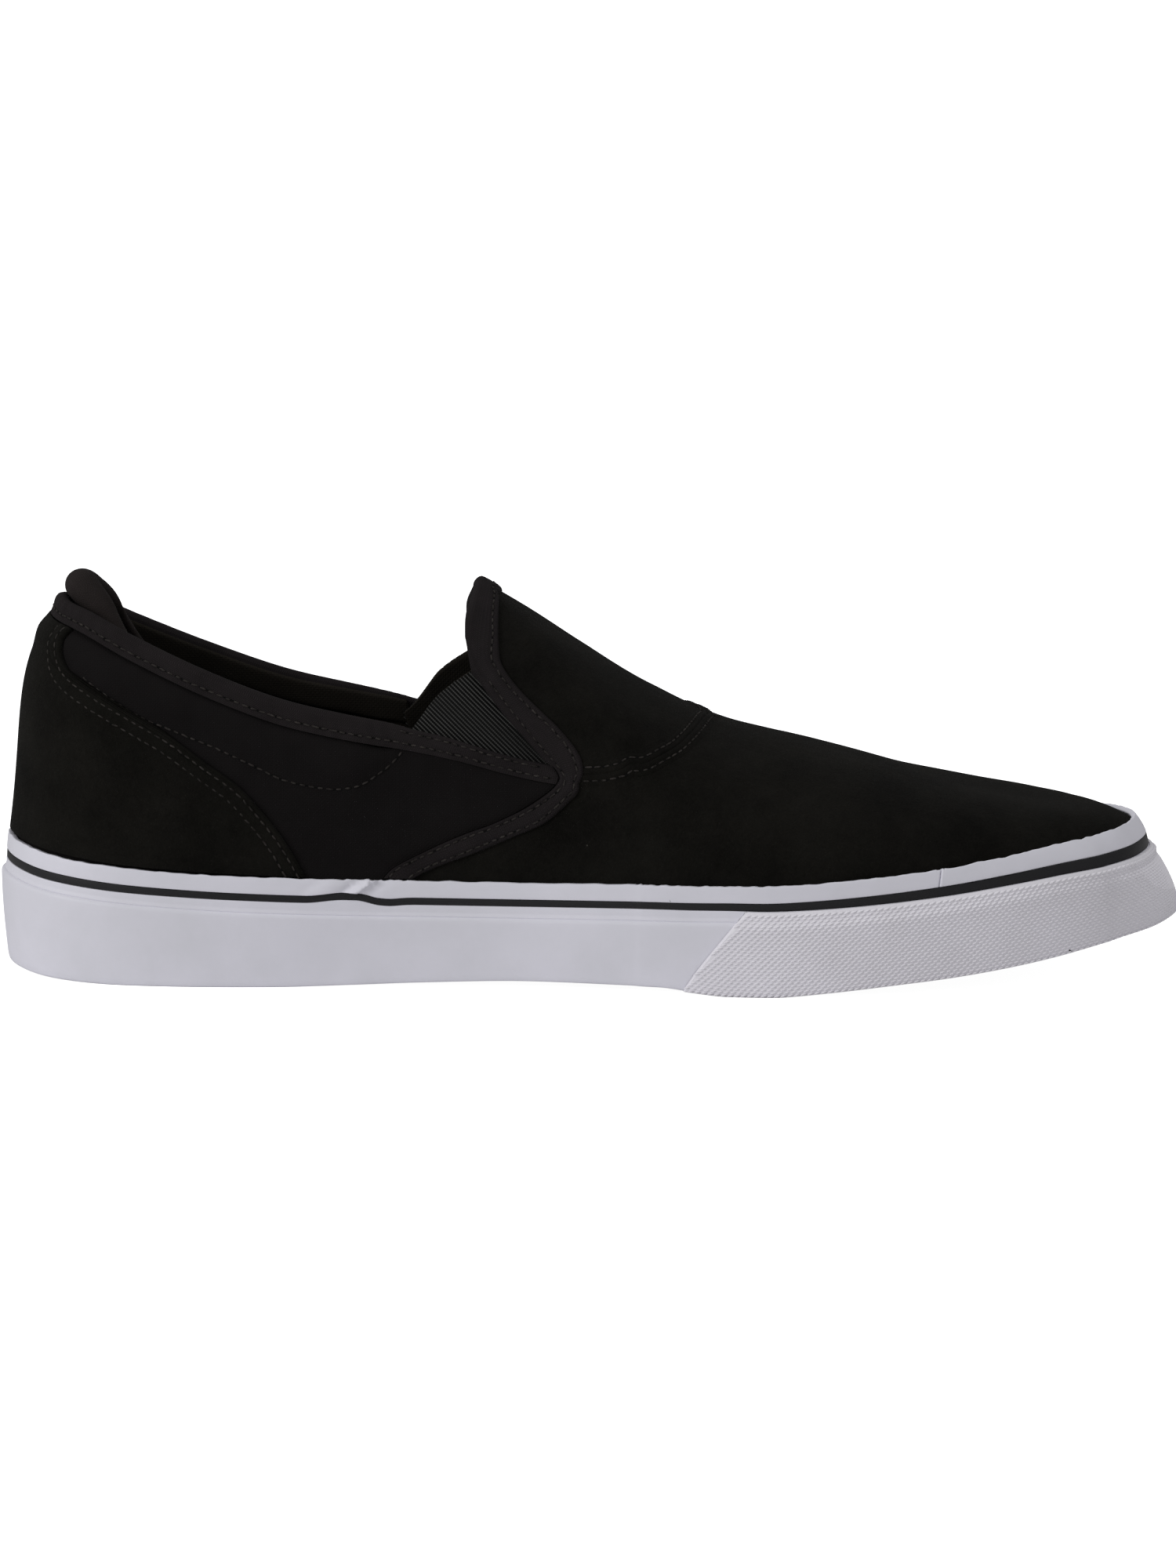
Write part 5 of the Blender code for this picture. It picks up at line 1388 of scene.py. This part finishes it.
def gore_backing(name, outer_side):
    """The smooth cloth behind the elastic, which is seen inside the far side."""
    u = np.linspace(7.10, 9.35, 40)
    rows = np.linspace(0, 1, 24)[None]
    climb = np.linalg.norm(form(u, 1.0 + 0 * u) - form(u, 0 * u), axis=-1)
    bottom = (np.clip(along("edge", u), 0, 1) - GORE_OVERLAP / climb)[:, None]
    top = (np.interp(u, *GORE_EDGE) + 0.014)[:, None]
    w = bottom + (top - bottom) * rows
    grid_u = np.broadcast_to((across(u) if outer_side else u)[:, None], w.shape)
    points = shell(grid_u, w, -(UPPER_WALL + GORE_THICKNESS + 0.0010) + 0 * w)
    mesh = grid_mesh(name, points)
    return put(name, mesh, LINING_CLOTH, ("gore_lateral" if outer_side else "gore_medial",), 0.0004)


def heel_pad():
    """The soft roll inside the collar at the back of the heel."""
    u = round_the_heel(HEEL_PAD_REACH, 36)
    end = row_of(u) / HEEL_PAD_REACH
    middle = form(u, 1.0 + 0 * u)
    inwards = np.concatenate([-outline(u)[2], 0 * u[:, None]], 1)
    middle = middle + inwards * (HEEL_PAD_INSET * (1 + HEEL_PAD_FLARE * end))[:, None]
    middle[:, 2] += HEEL_PAD_LIFT * (1 - HEEL_PAD_FALL * end**2)
    radius = HEEL_PAD_RADIUS * np.sqrt(1 - HEEL_PAD_TAPER * end**2)
    angle = np.linspace(0, 2 * math.pi, 33)[:-1]
    up = np.array([0, 0, 1.0])
    points = middle[:, None] + radius[:, None, None] * (
        np.cos(angle)[None, :, None] * -inwards[:, None] + np.sin(angle)[None, :, None] * up
    )
    run = run_along(middle)
    mesh = grid_mesh("heel_pad", points, run, np.linspace(0, 0.028, 33), closed=True, ends=True)
    clean(mesh, solid=True)
    piece = put("heel_pad", mesh, PAD_CLOTH, ("heel_pad",))
    return piece


def insole():
    """A cloth-covered footbed, dished in the middle and rounded at its edge."""
    half = np.linspace(0.05, TOE_TIP - 0.05, 160)
    share = np.linspace(-1, 1, 41)
    share = np.sign(share) * np.abs(share) ** 0.8
    edge = -(UPPER_WALL + INSOLE_CLEARANCE)
    top = core_z(half) + INSOLE_CLEARANCE + INSOLE_THICKNESS
    inner = sole_point(half, top, edge + 0 * half)
    outer = sole_point(across(half), top, edge + 0 * half)
    mix = (share[None, :, None] + 1) / 2
    points = inner[:, None] * (1 - mix) + outer[:, None] * mix
    width = np.linalg.norm(outer - inner, axis=-1)[:, None]
    from_edge = (1 - np.abs(share))[None] * width / 2
    lip = edge_round(from_edge, INSOLE_ROUND)
    dish = np.clip(from_edge / (width / 2), 0, 1) ** 1.5
    points[..., 2] += 0.0012 * (lip - 1) - 0.0010 * dish * np.clip(width / 0.06, 0, 1)
    mesh = grid_mesh("insole", points, along_=half * 0.0129, across_=share * 0.04)
    mesh.flip_normals()
    return put("insole", mesh, INSOLE_CLOTH, ("insole",), INSOLE_THICKNESS * 0.6)


# The sole's rings


def rounded(corners, radius, steps=3):
    """A closed section with its corners rounded. corners has the shape (places, corners, 2)."""
    before = np.roll(corners, 1, 1) - corners
    after = np.roll(corners, -1, 1) - corners
    size_before = np.linalg.norm(before, axis=-1, keepdims=True)
    size_after = np.linalg.norm(after, axis=-1, keepdims=True)
    size = np.minimum(radius, np.minimum(size_before, size_after) * 0.49)
    first = corners + before / np.maximum(size_before, 1e-9) * size
    final = corners + after / np.maximum(size_after, 1e-9) * size
    t = (np.arange(steps + 1) / steps)[None, None, :, None]
    arc = (1 - t) ** 2 * first[:, :, None] + 2 * t * (1 - t) * corners[:, :, None] + t**2 * final[:, :, None]
    return arc.reshape(len(corners), -1, 2)


def ring_places():
    """u round the shoe for the sole's rings, closer together at the tape's buckle and its joint."""
    half = np.linspace(0, TOE_TIP, TOE_TIP * RING_FINE + 1)
    extra = [np.interp(x + np.linspace(-reach, reach, 25), place_along(half), half)
             for x, reach in ((JOINT_X, 0.0016), (FOLD_X, 0.008))]
    inner = np.unique(np.concatenate([half, *extra]).round(5))
    outer = across(half[1:-1])[::-1]
    return np.concatenate([inner, outer])


def place_along(u):
    """x of the foxing line in the shared frame."""
    return outline(u)[0][:, 0] - MIDDLE[0]


def tape_wave(u):
    """How far the pinstripe is lifted over the tape's buckle on the inner side, and dips behind it."""
    x = place_along(u)
    inner_side = u < TOE_TIP
    lift = WAVE_LIFT * smoothstep(x, BUCKLE_X - 0.013, BUCKLE_X - 0.003)
    lift = lift * (1 - smoothstep(x, BUCKLE_X, BUCKLE_X + 0.006))
    dip = WAVE_DIP * hill(x, BUCKLE_X + 0.0085, 0.0035)
    return (lift - dip) * inner_side


def tape_bulge(u, drop):
    """The buckle's swelling with its slanted fold, and the step at the tape's joint."""
    x = place_along(u)
    inner_side = (u < TOE_TIP).astype(float)
    slant = x[:, None] + FOLD_SLANT * drop
    swell = BUCKLE_SWELL * hill(slant, BUCKLE_X - 0.004, 0.005)
    rise = smoothstep(slant, FOLD_X - FOLD_RUN, FOLD_X - 0.0002)
    rise = rise * (1 - smoothstep(slant, FOLD_X, FOLD_X + 0.0009))
    dips = 1.2 * hill(slant, FOLD_X - FOLD_RUN - 0.0008, 0.0012) + 0.6 * hill(slant, FOLD_X + 0.0034, 0.0018)
    dips = dips + 0.7 * hill(slant, FOLD_X - 0.0135, 0.0016)
    fold = FOLD_RISE * rise - FOLD_DIP * dips
    above_stripe = 1 - smoothstep(drop, STRIPE_DROP - 0.0005, STRIPE_DROP + 0.0008)
    joint = x[:, None] + 0.15 * drop
    step = JOINT_STEP * smoothstep(joint, JOINT_X - 0.0001, JOINT_X + 0.0001)
    step = step * (1 - smoothstep(joint, JOINT_X + 0.012, JOINT_X + 0.03))
    gap = JOINT_GAP * hill(joint, JOINT_X, 0.00016)
    return inner_side[:, None] * (swell + fold + step - gap) * above_stripe


def ring_mesh(name, u, section):
    """A closed ring round the shoe from a section of (drop, out) at each place."""
    drop, out = section[..., 0], section[..., 1]
    points = skirt(np.broadcast_to(u[:, None], drop.shape), drop, out)
    mesh = grid_mesh(name, points, looped=True, closed=True)
    clean(mesh, solid=True)
    return mesh


def section_of(u, corners):
    """Corners of (drop, out), each a number or an array over u, as one array."""
    pairs = [np.stack(np.broadcast_arrays(drop + 0 * u, out + 0 * u), -1) for drop, out in corners]
    return np.stack(pairs, 1)


def foxing_tape():
    """White tape with a groove for the pinstripe, buckled and joined on the inner side."""
    u = ring_places()
    face = GAP + TAPE_THICKNESS
    depth = face - STRIPE_DEPTH
    wave = tape_wave(u)
    groove_top = STRIPE_DROP - GAP / 3 - wave
    groove_bottom = stripe_bottom(u) + GAP / 3 - wave
    bottom = TAPE_HEIGHT + GAP / 3
    corners = (
        (0.0, GAP), (0.0, face), (0.0016, face), (TAPE_KNUCKLE, face),
        (groove_top, face), (groove_top, depth), (groove_bottom, depth), (groove_bottom, face),
        (bottom - 0.001, face), (bottom, face + 0.0005),
        (bottom, GAP), (TAPE_BEND, GAP), (TAPE_KNUCKLE, GAP),
    )
    section = rounded(section_of(u, corners), 0.0003)
    drop, out = section[..., 0], section[..., 1]
    ragged = np.random.default_rng(3).normal(0, 1, len(u))
    ragged = np.convolve(np.concatenate([ragged[-1:], ragged, ragged[:1]]), (0.25, 0.5, 0.25), "valid")
    top_edge = 1 - smoothstep(drop, 0.0, 0.0012)
    uneven = ragged[:, None] * TAPE_RAGGED * top_edge
    section = np.stack([drop - uneven, out + tape_bulge(u, drop) * (out > depth)], -1)
    put("foxing_tape", ring_mesh("foxing_tape", u, section), WHITE_RUBBER, ("foxing",))


def stripe_bottom(u):
    """The pinstripe's lower edge: it is wider at the heel and the toe."""
    row = row_of(u)
    wider = 0.0004 * (1 - smoothstep(row, 1, 5)) + 0.0008 * smoothstep(row, 11, 19)
    return STRIPE_DROP + STRIPE_HEIGHT + wider


def pinstripe():
    u = ring_places()
    inner = GAP + TAPE_THICKNESS - STRIPE_DEPTH
    outer = GAP + TAPE_THICKNESS - 0.0001
    wave = tape_wave(u)
    top, bottom = STRIPE_DROP - wave, stripe_bottom(u) - wave
    section = rounded(section_of(u, ((top, inner), (top, outer), (bottom, outer), (bottom, inner))), 0.0002)
    put("pinstripe", ring_mesh("pinstripe", u, section), STRIPE_RUBBER, ("pinstripe",))


def sidewall():
    """The thick white wall, with its rounded step and a soft lower edge."""
    u = ring_places()
    base, floor, step = along("base_z", u), sole_z(u), step_z(u)
    foot, top = wall_out(u, 0.0), wall_out(u, 1.0)
    x = place_along(u)
    sink = 0.0004 * hill(x, BUCKLE_X - 0.004, 0.012) * (u < TOE_TIP)
    corners = [(base - floor, GAP), (base - floor, foot - 0.0002)]
    for share in (0.06, 0.2, 0.35, 0.5, 0.65, 0.78):
        height = floor + share * (step - floor)
        corners.append((base - height, wall_out(u, share) - sink * math.sin(share * math.pi)))
    corners += [(base - step, top), (base - step, GAP)]
    section = rounded(section_of(u, corners), 0.0015, 5)
    put("sidewall", ring_mesh("sidewall", u, section), WHITE_RUBBER, ("sidewall",), sharp=75)


def bumper_surface(u, share, lift):
    """A point of the toe bumper: share runs from its foot (0) to its top edge (1)."""
    floor, step, base = sole_z(u), step_z(u), along("base_z", u)
    edge = base - stripe_bottom(u) - GAP / 2
    tape_face = GAP + TAPE_THICKNESS
    z = floor + (edge - floor) * share
    wall = wall_out(u, np.clip((z - floor) / (step - floor), 0, 1))
    over_step = smoothstep(z, step - 0.0018, step + 0.0012)
    out = wall + (tape_face - wall) * over_step
    return sole_point(u, z, out + GAP + lift)


def bumper_range(share):
    """u at the bumper's rear end at a share of its height."""
    return BUMPER_FOOT + (BUMPER_TOP - BUMPER_FOOT) * share


def toe_bumper():
    """The bumper with its raised grain: staggered, slanted lozenges in even rows."""
    shares = np.linspace(0, 1, 22)
    steps = np.linspace(0, 1, 260)
    u = bumper_range(shares)[None] + (RING - 2 * bumper_range(shares))[None] * steps[:, None]
    grid_share = np.broadcast_to(shares, u.shape)
    lift = BUMPER_THICKNESS * edge_round(np.minimum(steps, 1 - steps), BUMPER_END)[:, None] + 0 * u
    lift = lift - 0.0005 * smoothstep(grid_share, 0.97, 1.0)
    lift = lift - 0.0004 * (1 - smoothstep(grid_share, 0.0, 0.03))
    outer = bumper_surface(u, grid_share, lift)
    inner = bumper_surface(u, grid_share, -0.5 * GAP + 0 * u)[:, ::-1]
    body = np.concatenate([outer, inner], 1)
    base_mesh = grid_mesh("toe_bumper", body, closed=True, ends=True)
    clean(base_mesh, solid=True)

    dense = np.linspace(BUMPER_FOOT, RING - BUMPER_FOOT, 3000)
    line = bumper_surface(dense, 0.5 + 0 * dense, 0 * dense)
    run = run_along(line)
    rows = GRAIN_ROWS
    count = int(run[-1] / GRAIN_LENGTH)
    row, place = np.meshgrid(np.arange(rows), np.arange(count), indexing="ij")
    share = (row + 0.6) / (rows + 0.9)
    along_run = (place + 0.5 * (row % 2) + 0.25) * GRAIN_LENGTH
    share, along_run = share.ravel(), along_run.ravel()
    half_x, half_y, slant = GRAIN_HALF[0] * GRAIN_LENGTH, GRAIN_HALF[1] / rows, GRAIN_SLANT * GRAIN_LENGTH
    corners = []
    for lift, shrink in ((-HAIR, 1.06), (GRAIN_RISE, GRAIN_TOP)):
        for sx, sy in ((-1, -1), (1, -1), (1, 1), (-1, 1)):
            corner_run = along_run + shrink * (sx * half_x + sy * slant)
            corner_u = np.interp(corner_run, run, dense)
            corner_share = np.clip(share + shrink * sy * half_y, 0, 1)
            corners.append(bumper_surface(corner_u, corner_share, BUMPER_THICKNESS + lift + 0 * corner_u))
    middle_u = np.interp(along_run, run, dense)
    margin = 0.0009 / 0.0129
    kept = row_of(middle_u) > bumper_range(share) + margin
    grains = np.stack(corners, 1)[kept]
    faces = np.array([[4, 5, 6, 7], [0, 1, 5, 4], [1, 2, 6, 5], [2, 3, 7, 6], [3, 0, 4, 7], [3, 2, 1, 0]])
    faces = (faces[None] + 8 * np.arange(len(grains))[:, None, None]).reshape(-1, 4)
    grain_mesh = bpy.data.meshes.new("toe_bumper_grain")
    grain_mesh.from_pydata((grains - MIDDLE).reshape(-1, 3).tolist(), [], faces.tolist())
    clean(grain_mesh, solid=True)
    put("toe_bumper", base_mesh, PAINTED_LIGHT_BUMPER_RUBBER, ("toe_bumper",))
    put("toe_bumper_grain", grain_mesh, PAINTED_LIGHT_BUMPER_RUBBER, ("toe_bumper",), sharp=80)


def outsole():
    """The solid itself is right: it only takes its rubber."""
    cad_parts["outsole"].material_slots[0].material = OUTSOLE_RUBBER


# Camera, floor and light

ELEVATION = math.radians(8.5)
DISTANCE = 2.0
AIM = Vector((0, 0, 0.045))
FLOOR_GLOW = 0.97
FLOOR_HALF = 20.0
ROOM_LIGHT = 0.36


def camera():
    data = bpy.data.cameras.new("camera")
    data.sensor_width = 36
    data.sensor_fit = "HORIZONTAL"
    data.lens = 240
    data.shift_x = -0.5 / 1500
    data.shift_y = 5.3 / 1500
    data.clip_end = 100
    view = bpy.data.objects.new("camera", data)
    bpy.context.scene.collection.objects.link(view)
    view.location = AIM + DISTANCE * Vector((0, -math.cos(ELEVATION), math.sin(ELEVATION)))
    view.rotation_euler = (math.pi / 2 - ELEVATION, 0, 0)
    bpy.context.scene.camera = view


def floor():
    made, tree, shader = start("studio_floor", Roughness=1.0, Specular_IOR_Level=0.0)
    shader.inputs["Base Color"].default_value = (0.8, 0.8, 0.8, 1)
    shader.inputs["Emission Strength"].default_value = FLOOR_GLOW
    seen = wire(tree, "ShaderNodeLightPath").outputs["Is Camera Ray"]
    tree.links.new(blend_colours(tree, seen, (0.02, 0.02, 0.02), (1, 1, 1)), shader.inputs["Emission Color"])
    mesh = bpy.data.meshes.new("studio_floor")
    corners = [(x * FLOOR_HALF, y * FLOOR_HALF, 0) for x, y in ((-1, -1), (1, -1), (1, 1), (-1, 1))]
    mesh.from_pydata(corners, [], [(0, 1, 2, 3)])
    mesh.materials.append(made)
    plane = bpy.data.objects.new("studio_floor", mesh)
    bpy.context.scene.collection.objects.link(plane)


def light(name, place, aim, size, power):
    data = bpy.data.lights.new(name, "AREA")
    data.shape = "DISK"
    data.size = size
    data.energy = power
    lamp = bpy.data.objects.new(name, data)
    bpy.context.scene.collection.objects.link(lamp)
    lamp.location = place
    lamp.rotation_euler = (Vector(aim) - Vector(place)).to_track_quat("-Z", "Y").to_euler()


def studio():
    bpy.context.scene.view_settings.view_transform = "Standard"
    world = bpy.data.worlds.new("studio")
    bpy.context.scene.world = world
    world.use_nodes = True
    world.node_tree.nodes["Background"].inputs["Color"].default_value = (1, 1, 1, 1)
    world.node_tree.nodes["Background"].inputs["Strength"].default_value = ROOM_LIGHT
    light("softbox_left", (-1.7, -1.1, 0.85), (-0.05, 0, 0.04), 0.9, 15)
    light("softbox_top", (0.2, -0.2, 1.7), (0, 0, 0), 1.2, 5)


def main():
    upper_panels()
    lining()
    heel_counter()
    collar_binding()
    collar_lining()
    flap_binding()
    instep_seam("instep_seam_medial", False)
    instep_seam("instep_seam_lateral", True)
    counter_stitches()
    padding_stitches()
    collar_stitches()
    flap_stitches()
    instep_stitches()
    gore("gore_medial", False)
    gore("gore_lateral", True)
    gore_backing("gore_backing_medial", False)
    gore_backing("gore_backing_lateral", True)
    heel_pad()
    insole()
    foxing_tape()
    pinstripe()
    sidewall()
    toe_bumper()
    outsole()
    camera()
    floor()
    studio()


main()
